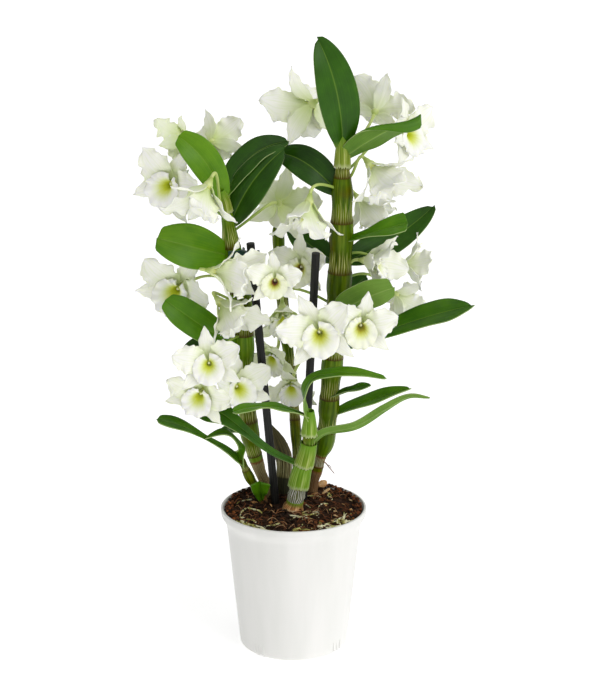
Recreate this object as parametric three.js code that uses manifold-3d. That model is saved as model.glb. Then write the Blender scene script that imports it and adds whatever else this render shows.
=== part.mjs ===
// A white Dendrobium nobile hybrid in flower, standing in its 12 cm growing pot.
// Millimetres, +Z up. The origin is the middle of the pot's underside, and -Y is the front.
import * as THREE from 'three';
import { mergeVertices } from 'three/addons/utils/BufferGeometryUtils.js';
import Module from 'manifold-3d';

// ---------------------------------------------------------------- driving dimensions

const GAP = 0.3;

const POT = {
  height: 120,
  rimRadius: 60,
  rimDepth: 11,
  mouthRadius: 58,
  shoulderRadius: 55.5,
  baseRadius: 45,
  wall: 2,
  floor: 2.5,
  heelRound: 4,
  sides: 32,
};

const DRAIN = { count: 4, firstAngle: -128, width: 7, depth: 2.6, from: 24, to: 50 };

const MIX = { rimLevel: 117, crown: 1.5, backRise: 5, lump: 1.3, rings: 3, sides: 24 };

const STAKE = { radius: 3.4, foot: 30, sides: 8 };
const STAKES = {
  stake_left: { low: [-15, 8, 118], top: [-34, -8, 345] },
  stake_right: { low: [8, 14, 120], top: [18, -4, 336] },
};

const CLIP = {
  stake: 'stake_left',
  cane: 'cane_left',
  height: 335,
  thick: 5,
  band: 1.6,
  grip: 8.6,
  open: 4,
  tabs: 18,
};

const LEAF = { thickness: 1.1, across: 2, along: 4, neck: 0.24, tip: 0.3, widest: 0.46, blunt: 0.5 };

const CANE = { sides: 7, internode: 25, waist: 0.84 };

const PEDICEL = { radius: 1.3, sides: 4, steps: 3 };

const BLOOM = { back: 9, thickness: 0.9, throat: 2.2, sides: 5 };

const COLOURS = {
  pot: 0xf2f2ef,
  mix: 0x3a2218,
  cane: 0x7c9433,
  bark: 0x6d5f3a,
  petal: 0xf6f7ee,
  stake: 0x1e1f21,
  clip: 0x1c3a33,
};

// Where each cane's centre line runs, from in the mix to its top, and how thick it is there.
// A leaf gives points along its midrib, its width, and the way its upper face looks.
const CANES = {
  cane_tall: {
    line: [
      [14, 35, 88], [16, 34, 122], [21, 30, 148], [27, 27, 173], [31, 22, 226],
      [35, 18, 279], [38, 16, 324], [39, 14, 371], [39, 12, 408], [39, 12, 420],
    ],
    radii: [4, 4.4, 5.4, 8.4, 9, 10, 10.4, 9.4, 5.8, 3.8],
    leaves: [
      { rib: [[39, 12, 416], [34, 2, 464], [19, 8, 505]], width: 33, face: [0.25, -1, 0.1], fold: 12 },
      { rib: [[40, 12, 410], [65, 2, 429], [100, 4, 446]], width: 29, face: [-0.1, 0.75, 0.6], fold: 14 },
      { rib: [[37, 14, 379], [12, 18, 403], [-13, 33, 410]], width: 27, face: [-0.2, -0.8, 0.5], fold: 10 },
      { rib: [[39, 15, 341], [66, -5, 354], [90, -14, 363]], width: 20, widest: 0.72, face: [0, -0.6, 0.8], fold: 16 },
      { rib: [[38, 18, 323], [79, 34, 338], [114, 46, 363]], width: 27, face: [-0.2, -0.9, 0.5], fold: 10 },
      { rib: [[36, 14, 281], [54, -6, 298], [80, -9, 309]], width: 27, face: [0, 0.95, 0.3], fold: 10 },
      { rib: [[34, 20, 247], [91, 22, 270], [145, 10, 289]], width: 26, widest: 0.66, face: [-0.3, -0.5, 0.8], fold: 12 },
      { rib: [[30, 25, 190], [65, 24, 204], [96, 18, 216]], width: 17, face: [-0.2, -0.3, 0.9], fold: 14 },
      { rib: [[30, 22, 207], [46, 6, 218], [63, 2, 224]], width: 12, face: [0, -0.3, 0.9], fold: 20 },
      { rib: [[36, 18, 323], [13, 37, 333], [-5, 48, 348]], width: 24, face: [0.3, -0.8, 0.5], fold: 10 },
      { rib: [[36, 18, 291], [48, 35, 297], [60, 46, 304]], width: 20, face: [0, -0.7, 0.7], fold: 10 },
    ],
  },
  cane_left: {
    line: [
      [-20, 27, 88], [-22, 26, 123], [-29, 24, 145], [-36, 20, 175], [-40, 14, 229],
      [-41, 10, 281], [-45, 8, 311], [-50, 5, 343], [-53, 2, 368], [-55, 0, 384],
    ],
    radii: [4, 4.6, 5.4, 8, 8.7, 8.7, 8.6, 7.6, 4.6, 3.4],
    leaves: [
      { rib: [[-54, 1, 376], [-68, -8, 409], [-90, -4, 430]], width: 26, face: [0.3, -1, 0.35], fold: 8 },
      { rib: [[-49, 5, 334], [-80, -16, 345], [-107, -20, 350]], width: 37, face: [0.2, -1, 0.35], fold: 8 },
      { rib: [[-41, 11, 250], [-76, -9, 279], [-102, -10, 299]], width: 26, face: [0.3, -1, 0.4], fold: 8 },
      { rib: [[-41, 13, 234], [-68, 8, 254], [-90, 0, 251]], width: 22, face: [-0.1, -0.5, 0.9], fold: 10 },
      { rib: [[-54, 1, 380], [-34, 13, 410], [-4, 22, 421]], width: 24, face: [-0.35, -0.75, 0.6], fold: 20 },
      { rib: [[-51, 4, 355], [-33, 3, 391], [-7, 13, 417]], width: 31, face: [-0.5, -1, 0.1], fold: 8 },
      { rib: [[-36, 20, 174], [-47, 32, 176], [-61, 40, 173]], width: 13, face: [0, -0.3, 0.9], fold: 14 },
    ],
  },
  cane_middle: {
    line: [[3, 44, 88], [3, 44, 119], [3, 46, 146], [-1, 54, 203], [-10, 58, 289], [-13, 57, 345]],
    radii: [4, 4, 4.6, 5, 5.8, 5],
    leaves: [],
  },
  backbulb: {
    line: [[-8, 36, 88], [-9, 36, 122], [-8, 38, 144], [-12, 42, 160], [-20, 46, 175]],
    radii: [5, 6.4, 7.6, 6.6, 2],
    leaves: [],
  },
  cane_front: {
    line: [[-1, -1, 88], [0, -2, 118], [3, -4, 134], [7, -7, 155], [12, -10, 174], [13, -15, 204]],
    radii: [4.6, 5.6, 8.2, 8, 7, 4],
    leaves: [
      { rib: [[13, -14, 201], [-18, -30, 216], [-48, -42, 215]], width: 14, face: [-0.1, -0.2, 1], fold: 8 },
      { rib: [[13, -14, 201], [25, -28, 240], [72, -36, 243]], width: 14, face: [-0.3, -0.3, 0.9], fold: 12 },
      {
        rib: [[12, -10, 176], [27, -16, 192], [50, -22, 201], [73, -28, 217], [92, -32, 228], [109, -36, 228]],
        width: 10,
        face: [-0.3, -0.5, 0.8],
        fold: 16,
      },
      {
        rib: [[7, -7, 158], [-18, -12, 172], [-39, -12, 189], [-60, -8, 204], [-84, -2, 210]],
        width: 25,
        widest: 0.74,
        face: [0.3, -0.8, 0.5],
        fold: 8,
      },
    ],
  },
  shoot_left: {
    line: [[-22, 13, 88], [-26, 12, 122], [-36, 6, 142], [-43, 2, 160]],
    radii: [3.2, 3.8, 4.2, 3],
    leaves: [
      {
        rib: [[-42, 3, 156], [-55, -4, 170], [-72, -12, 184], [-89, -20, 196], [-110, -26, 204]],
        width: 14,
        widest: 0.72,
        face: [0.2, -0.5, 0.9],
        fold: 12,
      },
      { rib: [[-42, 2, 154], [-50, -7, 183], [-71, -14, 184]], width: 11, face: [-0.2, -0.3, 0.9], fold: 12 },
      { rib: [[-27, 9, 121], [-28, 4, 130], [-28, 1, 141]], width: 15, widest: 0.8, face: [0, -1, 0.2], fold: 30 },
    ],
  },
};

// Each bloom gives the middle that its petals spread from, the way it faces, how far it is
// rolled about that way, its size, how far it has opened, from a bell to 1 for a flat star, and
// the cane and height that its stalk leaves.
const BLOOMS = {
  bloom_01: { at: [-95, 17, 388], face: [-0.5, -0.85, 0.14], roll: -28, size: 1.04, open: 1, on: ['cane_left', 362] },
  bloom_02: { at: [-67, -28, 394], face: [-0.36, -0.54, -0.76], roll: 10, size: 1.08, open: 0.65, on: ['cane_left', 360] },
  bloom_03: { at: [-84, 24, 423], face: [-0.88, 0.42, -0.23], roll: 35, size: 0.8, open: 0.8, on: ['cane_left', 378] },
  bloom_04: { at: [-65, 34, 419], face: [0.46, 0.89, -0.05], roll: -30, size: 0.8, open: 1, on: ['cane_left', 378] },
  bloom_05: { at: [-12, 34, 368], face: [0.3, 0.92, -0.27], roll: 10, size: 0.98, open: 1, on: ['cane_left', 350] },
  bloom_06: { at: [12, -6, 376], face: [-0.16, -0.42, -0.89], roll: 8, size: 1.06, open: 0.65, on: ['cane_tall', 383] },
  bloom_07: { at: [14, 43, 447], face: [-0.54, 0.67, -0.5], roll: 0, size: 1.1, open: 1, on: ['cane_tall', 412] },
  bloom_08: { at: [66, 45, 442], face: [0.21, 0.92, 0.34], roll: 25, size: 0.92, open: 1, on: ['cane_tall', 412] },
  bloom_09: { at: [88, 50, 422], face: [0.72, -0.67, 0.19], roll: 10, size: 0.92, open: 1, on: ['cane_tall', 396] },
  bloom_10: { at: [63, 12, 402], face: [0.62, -0.45, -0.64], roll: -10, size: 1.18, open: 0.72, on: ['cane_tall', 388] },
  bloom_11: { at: [54, 46, 368], face: [0.62, -0.12, -0.77], roll: 10, size: 0.92, open: 0.6, on: ['cane_tall', 370] },
  bloom_12: { at: [59, 7, 327], face: [0.85, -0.53, 0.03], roll: -45, size: 0.92, open: 0.5, on: ['cane_tall', 317] },
  bloom_13: { at: [91, 26, 319], face: [0.99, 0.11, -0.03], roll: 0, size: 0.8, open: 0.9, on: ['cane_tall', 328] },
  bloom_14: { at: [86, 54, 286], face: [0.57, 0.53, -0.63], roll: 30, size: 0.7, open: 0.9, on: ['cane_tall', 306] },
  bloom_15: { at: [21, -34, 280], face: [-0.12, -0.98, 0.18], roll: 20, size: 1, open: 1, on: ['cane_tall', 276] },
  bloom_16: { at: [53, -16, 281], face: [0.15, -0.99, -0.03], roll: -12, size: 0.9, open: 1, on: ['cane_tall', 270] },
  bloom_17: { at: [-14, -28, 320], face: [-0.1, -0.97, 0.23], roll: 0, size: 0.7, open: 1, on: ['cane_middle', 303] },
  bloom_18: { at: [8, 23, 318], face: [-0.4, -0.89, 0.21], roll: 3, size: 0.84, open: 1, on: ['cane_tall', 322] },
  bloom_19: { at: [-9, 40, 277], face: [0.06, -0.68, -0.73], roll: 10, size: 0.98, open: 0.8, on: ['cane_tall', 285] },
  bloom_20: { at: [-60, -29, 327], face: [0.91, -0.4, -0.05], roll: 10, size: 1.12, open: 0.52, on: ['cane_left', 312] },
  bloom_21: { at: [-57, -12, 296], face: [0.61, -0.52, -0.59], roll: 0, size: 1.08, open: 0.52, on: ['cane_left', 290] },
  bloom_22: { at: [-92, 31, 299], face: [-0.41, -0.91, -0.05], roll: -30, size: 1.1, open: 1, on: ['cane_left', 305] },
  bloom_23: { at: [-66, -41, 256], face: [-0.1, -0.97, 0.23], roll: 10, size: 0.88, open: 1, on: ['cane_left', 262] },
  bloom_24: { at: [-48, -4, 225], face: [0.46, -0.85, 0.25], roll: 5, size: 0.92, open: 0.9, on: ['cane_left', 258] },
  bloom_25: { at: [-1, 36, 216], face: [-0.12, -0.87, -0.48], roll: 0, size: 0.8, open: 0.8, on: ['cane_tall', 240] },
  bloom_26: { at: [-16, 47, 238], face: [-0.36, -0.86, -0.37], roll: 20, size: 0.8, open: 0.8, on: ['cane_middle', 262] },
  bloom_27: { at: [-73, -21, 226], face: [-0.26, -0.95, -0.15], roll: -20, size: 0.88, open: 1, on: ['cane_left', 236] },
};

// ---------------------------------------------------------------- solids

const wasm = await Module();
wasm.setup();

function solidOf(geometry) {
  const bare = geometry.clone();
  bare.deleteAttribute('normal');
  bare.deleteAttribute('uv');
  const merged = mergeVertices(bare, 1e-4);
  const corners = merged.index.array;
  const kept = [];
  for (let i = 0; i < corners.length; i += 3) {
    const [a, b, c] = corners.slice(i, i + 3);
    if (a !== b && b !== c && c !== a) kept.push(a, b, c);
  }
  const mesh = new wasm.Mesh({
    numProp: 3,
    vertProperties: new Float32Array(merged.attributes.position.array),
    triVerts: new Uint32Array(kept),
  });
  return new wasm.Manifold(mesh);
}

function geometryOf(solid) {
  const mesh = solid.getMesh();
  const geometry = new THREE.BufferGeometry();
  geometry.setAttribute('position', new THREE.BufferAttribute(mesh.vertProperties, 3));
  geometry.setIndex(new THREE.BufferAttribute(mesh.triVerts, 1));
  geometry.computeVertexNormals();
  return geometry;
}

function fuse(geometries) {
  return geometries.map(solidOf).reduce((all, one) => all.add(one));
}

const vec = (p) => new THREE.Vector3(...p);
const rad = THREE.MathUtils.degToRad;
const mix = THREE.MathUtils.lerp;

// A closed blade over a surface given by u, -1 to 1 across it, and t, 0 to 1 along it. Both
// faces are cut into triangles by the same diagonals, so that a waved blade never crosses itself.
function blade(surface, across, along, thickness) {
  const columns = across + 1;
  const count = columns * (along + 1);
  const faces = { upper: [], lower: [] };
  const step = 1e-3;
  for (let j = 0; j <= along; j += 1) {
    for (let i = 0; i < columns; i += 1) {
      const u = (2 * i) / across - 1;
      const t = j / along;
      const middle = surface(u, t);
      const tangent = surface(u, t + step).sub(surface(u, t - step));
      const sideways = surface(u + step, t).sub(surface(u - step, t));
      const normal = sideways.cross(tangent).normalize().multiplyScalar(thickness / 2);
      faces.upper.push(...middle.clone().add(normal).toArray());
      faces.lower.push(...middle.clone().sub(normal).toArray());
    }
  }
  const index = [];
  const quad = (a, b, c, d) => index.push(a, b, c, a, c, d);
  for (let j = 0; j < along; j += 1) {
    for (let i = 0; i < across; i += 1) {
      const a = j * columns + i;
      const d = a + columns;
      index.push(a, a + 1, d + 1, a, d + 1, d);
      index.push(a + count, d + 1 + count, a + 1 + count, a + count, d + count, d + 1 + count);
    }
  }
  for (let j = 0; j < along; j += 1) {
    const left = j * columns;
    const right = left + across;
    quad(left, left + columns, left + columns + count, left + count);
    quad(right + columns, right, right + count, right + columns + count);
  }
  for (let i = 0; i < across; i += 1) {
    const far = along * columns + i;
    quad(i + 1, i, i + count, i + 1 + count);
    quad(far, far + 1, far + 1 + count, far + count);
  }
  const geometry = new THREE.BufferGeometry();
  const positions = [...faces.upper, ...faces.lower];
  geometry.setAttribute('position', new THREE.Float32BufferAttribute(positions, 3));
  geometry.setIndex(index);
  return geometry;
}

// Half-width of a blade at t, as a share of its greatest, which it has at `widest`. A lower
// `blunt` makes the far end rounder.
function outline(t, { widest, neck, tip, blunt }) {
  const warped = THREE.MathUtils.clamp(t, 0, 1) ** (Math.log(0.5) / Math.log(widest));
  const swell = Math.max(0, Math.sin(Math.PI * Math.min(warped, 1)));
  return t < widest ? Math.max(swell ** 0.65, neck) : Math.max(swell ** blunt, tip);
}

// A turned solid whose axis, the y axis, is bent along a curve. Its profile gives radii at
// distances from 0 to 1 along the curve.
function bentLathe(curve, profile, sides) {
  const lathe = new THREE.LatheGeometry(profile, sides);
  const position = lathe.attributes.position;
  const out = new THREE.Vector3();
  for (let i = 0; i < position.count; i += 1) {
    out.fromBufferAttribute(position, i);
    const t = THREE.MathUtils.clamp(out.y, 0, 1);
    const along = curve.getTangent(t);
    const right = new THREE.Vector3(1, 0, 0).addScaledVector(along, -along.x).normalize();
    const back = along.clone().cross(right);
    const placed = curve.getPoint(t).addScaledVector(right, out.x).addScaledVector(back, -out.z);
    position.setXYZ(i, placed.x, placed.y, placed.z);
  }
  return lathe;
}

// ---------------------------------------------------------------- canes, leaves and stalks

// A midrib of three points is one even arc. A longer one passes through all of its points.
function midribCurve(points) {
  if (points.length > 3) return new THREE.CatmullRomCurve3(points, false, 'catmullrom', 0.5);
  const [base, middle, tip] = points;
  const control = middle.clone().multiplyScalar(2).addScaledVector(base, -0.5).addScaledVector(tip, -0.5);
  return new THREE.QuadraticBezierCurve3(base, control, tip);
}

function leafGeometry({ rib, width, face, fold, widest = LEAF.widest }) {
  const midrib = midribCurve(rib.map(vec));
  const slope = Math.tan(rad(fold));
  const surface = (u, t) => {
    const place = THREE.MathUtils.clamp(t, 0, 1);
    const along = midrib.getTangent(place);
    const up = vec(face).addScaledVector(along, -vec(face).dot(along)).normalize();
    const side = along.clone().cross(up);
    const reach = 0.5 * width * outline(t, { ...LEAF, widest }) * u;
    return midrib.getPoint(place).addScaledVector(side, reach).addScaledVector(up, Math.abs(reach) * slope);
  };
  return blade(surface, LEAF.across, LEAF.along, LEAF.thickness);
}

function caneCurve({ line }) {
  return new THREE.CatmullRomCurve3(line.map(vec), false, 'catmullrom', 0.5);
}

// Radius at t along the cane's control points, eased between them.
function caneRadius({ radii }, t) {
  const place = t * (radii.length - 1);
  const low = Math.min(Math.floor(place), radii.length - 2);
  return mix(radii[low], radii[low + 1], THREE.MathUtils.smoothstep(place - low, 0, 1));
}

// The joints that part a cane into internodes are its waists, with one ring between each two.
function caneGeometry(cane, grow = 0) {
  const curve = caneCurve(cane);
  const joints = Math.round(curve.getLength() / CANE.internode);
  const profile = [new THREE.Vector2(0, 0)];
  for (let i = 0; i <= 2 * joints; i += 1) {
    const t = i / (2 * joints);
    const waist = i % 2 === 0 ? CANE.waist : 1;
    profile.push(new THREE.Vector2(caneRadius(cane, t) * waist + grow, t));
  }
  profile.push(new THREE.Vector2(0, 1));
  return bentLathe(curve, profile, CANE.sides);
}

function caneAtHeight(cane, height) {
  const curve = caneCurve(cane);
  let best = curve.getPoint(0);
  for (let t = 0; t <= 1; t += 0.005) {
    const point = curve.getPoint(t);
    if (Math.abs(point.z - height) < Math.abs(best.z - height)) best = point;
  }
  return best;
}

function bloomTurn({ face, roll }) {
  const front = vec(face).normalize();
  const right = new THREE.Vector3(0, 0, 1).cross(front).normalize();
  const up = front.clone().cross(right);
  const turn = new THREE.Quaternion().setFromRotationMatrix(new THREE.Matrix4().makeBasis(right, up, front));
  return turn.multiply(new THREE.Quaternion().setFromAxisAngle(new THREE.Vector3(0, 0, 1), rad(roll)));
}

// The stalk leaves its cane outwards and comes to the back of its bloom along the bloom's axis.
function stalkGeometry(bloom) {
  const [name, height] = bloom.on;
  const start = caneAtHeight(CANES[name], height);
  const front = vec(bloom.face).normalize();
  const end = vec(bloom.at).addScaledVector(front, -(BLOOM.back * bloom.size + GAP));
  const reach = start.distanceTo(end);
  const outwards = end.clone().sub(start).setZ(0).normalize().setZ(0.45);
  const curve = new THREE.CubicBezierCurve3(
    start,
    start.clone().addScaledVector(outwards, 0.45 * reach),
    end.clone().addScaledVector(front, -0.4 * reach),
    end,
  );
  const profile = [new THREE.Vector2(0, 0)];
  for (let i = 0; i <= PEDICEL.steps; i += 1) {
    profile.push(new THREE.Vector2(PEDICEL.radius, i / PEDICEL.steps));
  }
  profile.push(new THREE.Vector2(0, 1));
  return bentLathe(curve, profile, PEDICEL.sides);
}

function caneSolid(name) {
  const cane = CANES[name];
  const stalks = Object.values(BLOOMS).filter((bloom) => bloom.on[0] === name);
  return fuse([caneGeometry(cane), ...cane.leaves.map(leafGeometry), ...stalks.map(stalkGeometry)]);
}

// ---------------------------------------------------------------- blooms

const SEPAL = { length: 35, width: 16, opening: 38, recurve: 98, cup: 0, ruffle: 0, waves: 0, seat: -2.4 };
const PETAL = {
  length: 36,
  width: 26,
  opening: 32,
  recurve: 92,
  cup: 0.15,
  ruffle: 1.8,
  waves: 1.4,
  seat: 0.6,
};
const SEPAL_OUTLINE = { widest: 0.5, neck: 0.28, tip: 0.16, blunt: 0.65 };
const PETAL_OUTLINE = { widest: 0.56, neck: 0.16, tip: 0.34, blunt: 0.6 };
const LIP = { length: 24, seat: 2, from: 2, to: 90, shut: 0.1, wrap: 120, chin: 0.24, nod: 10, ruffle: 1.8, waves: 4 };

const SEPALS = [90, 220, 320];
const SEPALS_AHEAD = 0.4;
const PETALS = [158, 22];

// A sepal or petal that leaves the bloom's axis at the angle `around` it. It leans `opening`
// degrees from the axis at its root and `recurve` at its tip, or less in a bloom half open.
function tepalGeometry(form, shape, around, across, along, open) {
  const from = rad(form.opening * open);
  const to = rad(form.recurve * open);
  const direction = rad(around);
  const surface = (u, t) => {
    const lean = mix(from, to, t);
    const out = BLOOM.throat + (form.length * (Math.cos(from) - Math.cos(lean))) / (to - from);
    const forward = form.seat + (form.length * (Math.sin(lean) - Math.sin(from))) / (to - from);
    const half = 0.5 * form.width * outline(t, shape);
    const wave = Math.sin(2 * Math.PI * form.waves * t + (u > 0 ? 0.4 : 2.4));
    const rise = half * form.cup * u * u + form.ruffle * u * u * t * wave;
    const radius = out - rise * Math.cos(lean);
    return new THREE.Vector3(
      radius * Math.cos(direction) - u * half * Math.sin(direction),
      radius * Math.sin(direction) + u * half * Math.cos(direction),
      forward + rise * Math.sin(lean),
    );
  };
  return blade(surface, across, along, BLOOM.thickness);
}

// The lip: a trumpet rolled round the column, open on top, longest below and ruffled at its mouth.
function lipGeometry(across, along, open) {
  const from = rad(LIP.from);
  const to = rad(LIP.to * mix(LIP.shut, 1, open));
  const surface = (u, t) => {
    const around = rad(LIP.wrap) * u;
    const lean = mix(from, to, t);
    const length = LIP.length * (1 - LIP.chin * (1 - Math.cos(around)));
    const out = BLOOM.throat + (length * (Math.cos(from) - Math.cos(lean))) / (to - from);
    const wave = LIP.ruffle * t * t * Math.cos((LIP.waves * Math.PI * (u + 1)) / 2);
    const forward = LIP.seat + wave + (length * (Math.sin(lean) - Math.sin(from))) / (to - from);
    return new THREE.Vector3(out * Math.sin(around), -out * Math.cos(around), forward);
  };
  return blade(surface, across, along, BLOOM.thickness).rotateX(rad(LIP.nod));
}

// The cup behind the bloom and the column in front of it, turned as one piece.
function columnGeometry() {
  const profile = [[0, -9], [1.6, -9], [4.6, -0.5], [0, 8]];
  const lathe = new THREE.LatheGeometry(profile.map(([r, z]) => new THREE.Vector2(r, z)), BLOOM.sides);
  return lathe.rotateX(Math.PI / 2);
}

// The sepals stand outside the petals, so they open ahead of them.
function bloomSolid(open) {
  const sepalsOpen = mix(open, 1, SEPALS_AHEAD);
  return fuse([
    columnGeometry(),
    ...SEPALS.map((around) => tepalGeometry(SEPAL, SEPAL_OUTLINE, around, 1, 3, sepalsOpen)),
    ...PETALS.map((around) => tepalGeometry(PETAL, PETAL_OUTLINE, around, 2, 3, open)),
    lipGeometry(4, 2, open),
  ]);
}

// ---------------------------------------------------------------- pot, mix, stakes and clip

function potSolid() {
  const { baseRadius, shoulderRadius, rimRadius, mouthRadius, height, wall, floor, heelRound } = POT;
  const shoulder = height - POT.rimDepth;
  const profile = [
    [0, 0], [baseRadius - heelRound, 0], [baseRadius, heelRound], [shoulderRadius, shoulder - 3],
    [rimRadius, shoulder + 4], [rimRadius, height], [mouthRadius, height],
    [shoulderRadius - wall, shoulder - 4], [baseRadius - wall, heelRound], [baseRadius - heelRound, floor],
    [0, floor],
  ];
  const shell = new THREE.LatheGeometry(profile.map(([r, z]) => new THREE.Vector2(r, z)), POT.sides);
  let pot = solidOf(shell.rotateX(Math.PI / 2));
  for (let i = 0; i < DRAIN.count; i += 1) {
    const length = DRAIN.to - DRAIN.from;
    const slot = new THREE.BoxGeometry(length, DRAIN.width, 2 * DRAIN.depth);
    slot.translate(DRAIN.from + length / 2, 0, 0);
    slot.rotateZ(rad(DRAIN.firstAngle + (i * 360) / DRAIN.count));
    pot = pot.subtract(solidOf(slot));
  }
  return pot;
}

// Height of the mix at a place: level at the rim, crowned in the middle, higher at the back.
function mixHeight(x, y) {
  const inwards = Math.max(0, 1 - Math.hypot(x, y) / POT.mouthRadius);
  const lumps = Math.sin(x * 0.31 + 1.3) * Math.cos(y * 0.27) + Math.sin(x * 0.17 - y * 0.23);
  const back = MIX.backRise * ((y + POT.mouthRadius) / (2 * POT.mouthRadius)) ** 2;
  const rise = MIX.crown * inwards ** 0.8 + back * Math.min(1, 4 * inwards) + MIX.lump * lumps * inwards;
  return MIX.rimLevel + rise;
}

function mixSolid() {
  const shoulder = POT.height - POT.rimDepth;
  const inset = POT.wall + 2 * GAP;
  const edge = POT.mouthRadius - 5 * GAP;
  const wallLine = [
    [0, POT.floor + GAP], [POT.baseRadius - POT.heelRound - 1, POT.floor + GAP],
    [POT.baseRadius - inset, POT.heelRound + 1], [POT.shoulderRadius - inset, shoulder - 4],
    [edge, MIX.rimLevel],
  ];
  const profile = wallLine.map(([r, z]) => new THREE.Vector2(r, z));
  for (let i = MIX.rings - 1; i >= 0; i -= 1) {
    profile.push(new THREE.Vector2((i / MIX.rings) * edge, POT.height));
  }
  const heap = new THREE.LatheGeometry(profile, MIX.sides).rotateX(Math.PI / 2);
  const position = heap.attributes.position;
  for (let i = 0; i < position.count; i += 1) {
    if (position.getZ(i) < POT.height) continue;
    position.setZ(i, mixHeight(position.getX(i), position.getY(i)));
  }
  let heaped = solidOf(heap);
  Object.values(CANES).forEach(({ line, radii }) => {
    const [[x, y, foot], ...rest] = line;
    const hole = { radii, line: [[x, y, foot - GAP], ...rest] };
    heaped = heaped.subtract(solidOf(caneGeometry(hole, GAP)));
  });
  Object.values(STAKES).forEach((stake) => {
    heaped = heaped.subtract(solidOf(stakeGeometry(stake, GAP)));
  });
  return heaped;
}

function stakeLine({ low, top }) {
  const direction = vec(top).sub(vec(low)).normalize();
  const foot = vec(low).addScaledVector(direction, (STAKE.foot - low[2]) / direction.z);
  return { foot, direction, length: foot.distanceTo(vec(top)) };
}

function stakeGeometry(stake, grow = 0) {
  const { foot, direction, length } = stakeLine(stake);
  const radius = STAKE.radius + grow;
  const rod = new THREE.CylinderGeometry(radius, radius, length + grow, STAKE.sides);
  rod.translate(0, (length - grow) / 2, 0);
  rod.applyQuaternion(new THREE.Quaternion().setFromUnitVectors(new THREE.Vector3(0, 1, 0), direction));
  return rod.translate(foot.x, foot.y, foot.z);
}

// A collar on the stake with a tab at each side, and a bar to an open grip at the cane.
function clipSolid() {
  const stake = STAKES[CLIP.stake];
  const { foot, direction } = stakeLine(stake);
  const post = foot.clone().addScaledVector(direction, (CLIP.height - foot.z) / direction.z);
  const cane = caneAtHeight(CANES[CLIP.cane], CLIP.height);
  const across = cane.clone().sub(post).setZ(0);
  const span = across.length();
  const disc = (radius, x, thick) => {
    const geometry = new THREE.CylinderGeometry(radius, radius, thick, 14).rotateX(Math.PI / 2);
    return geometry.translate(x, 0, 0);
  };
  const bar = new THREE.BoxGeometry(span, 2 * CLIP.band, CLIP.thick).translate(span / 2, 0, 0);
  const tabs = new THREE.BoxGeometry(CLIP.band, CLIP.tabs, CLIP.thick);
  const farSide = new THREE.BoxGeometry(CLIP.grip * 2, CLIP.grip * 4, CLIP.thick * 2);
  farSide.translate(span + CLIP.grip - CLIP.open, 0, 0);
  const clip = fuse([
    disc(STAKE.radius + GAP + CLIP.band, 0, CLIP.thick),
    disc(CLIP.grip + CLIP.band, span, CLIP.thick),
    bar,
    tabs,
  ]);
  const opened = clip.subtract(solidOf(disc(CLIP.grip, span, CLIP.thick * 2))).subtract(solidOf(farSide));
  const placed = geometryOf(opened).rotateZ(Math.atan2(across.y, across.x)).translate(...post.toArray());
  return solidOf(placed).subtract(solidOf(stakeGeometry(stake, GAP)));
}

// ---------------------------------------------------------------- the plant

const plant = new THREE.Group();

function addPart(name, geometry, colour, roughness) {
  const material = new THREE.MeshStandardMaterial({ color: colour, roughness, metalness: 0 });
  const part = new THREE.Mesh(geometry, material);
  part.name = name;
  plant.add(part);
  return part;
}

addPart('pot', geometryOf(potSolid()), COLOURS.pot, 0.4);
addPart('potting_mix', geometryOf(mixSolid()), COLOURS.mix, 0.95);
Object.entries(STAKES).forEach(([name, stake]) => {
  addPart(name, stakeGeometry(stake), COLOURS.stake, 0.5);
});
addPart('cane_clip', geometryOf(clipSolid()), COLOURS.clip, 0.5);
Object.keys(CANES).forEach((name) => {
  addPart(name, geometryOf(caneSolid(name)), name === 'backbulb' ? COLOURS.bark : COLOURS.cane, 0.45);
});

Object.entries(BLOOMS).forEach(([name, bloom]) => {
  const part = addPart(name, geometryOf(bloomSolid(bloom.open)), COLOURS.petal, 0.6);
  part.position.set(...bloom.at);
  part.quaternion.copy(bloomTurn(bloom));
  part.scale.setScalar(bloom.size);
});

export default plant;
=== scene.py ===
"""A white Dendrobium nobile hybrid in its growing pot. Metres, +Z up, and -Y is the front."""
import math
import random

import bmesh
import bpy
from mathutils import Euler, Matrix, Vector, noise


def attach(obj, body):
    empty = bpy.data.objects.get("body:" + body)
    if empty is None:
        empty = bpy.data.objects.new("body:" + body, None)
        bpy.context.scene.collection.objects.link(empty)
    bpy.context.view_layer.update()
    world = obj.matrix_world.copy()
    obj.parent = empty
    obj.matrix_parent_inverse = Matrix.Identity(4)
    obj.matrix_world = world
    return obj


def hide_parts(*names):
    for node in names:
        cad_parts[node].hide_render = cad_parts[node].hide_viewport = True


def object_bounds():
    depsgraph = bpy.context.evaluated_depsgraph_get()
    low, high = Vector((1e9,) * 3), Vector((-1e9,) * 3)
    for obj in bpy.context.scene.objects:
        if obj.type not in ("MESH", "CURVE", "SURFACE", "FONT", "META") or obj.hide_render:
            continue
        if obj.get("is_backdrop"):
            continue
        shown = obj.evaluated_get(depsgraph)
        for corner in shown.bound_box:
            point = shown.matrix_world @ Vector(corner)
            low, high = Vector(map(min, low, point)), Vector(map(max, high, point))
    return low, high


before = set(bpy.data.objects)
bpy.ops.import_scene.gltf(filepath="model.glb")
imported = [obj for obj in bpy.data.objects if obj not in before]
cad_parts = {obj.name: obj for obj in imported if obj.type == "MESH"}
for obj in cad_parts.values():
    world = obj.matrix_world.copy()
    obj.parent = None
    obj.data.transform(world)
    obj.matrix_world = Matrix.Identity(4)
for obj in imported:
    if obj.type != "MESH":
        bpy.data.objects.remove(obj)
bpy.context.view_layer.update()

# ------------------------------------------------------------------ camera, light and floor
# A long lens at table height looks slightly down on the plant. Pale light comes from all round,
# and one broad light from the right leaves soft grey shadows in the white blooms.

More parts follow.
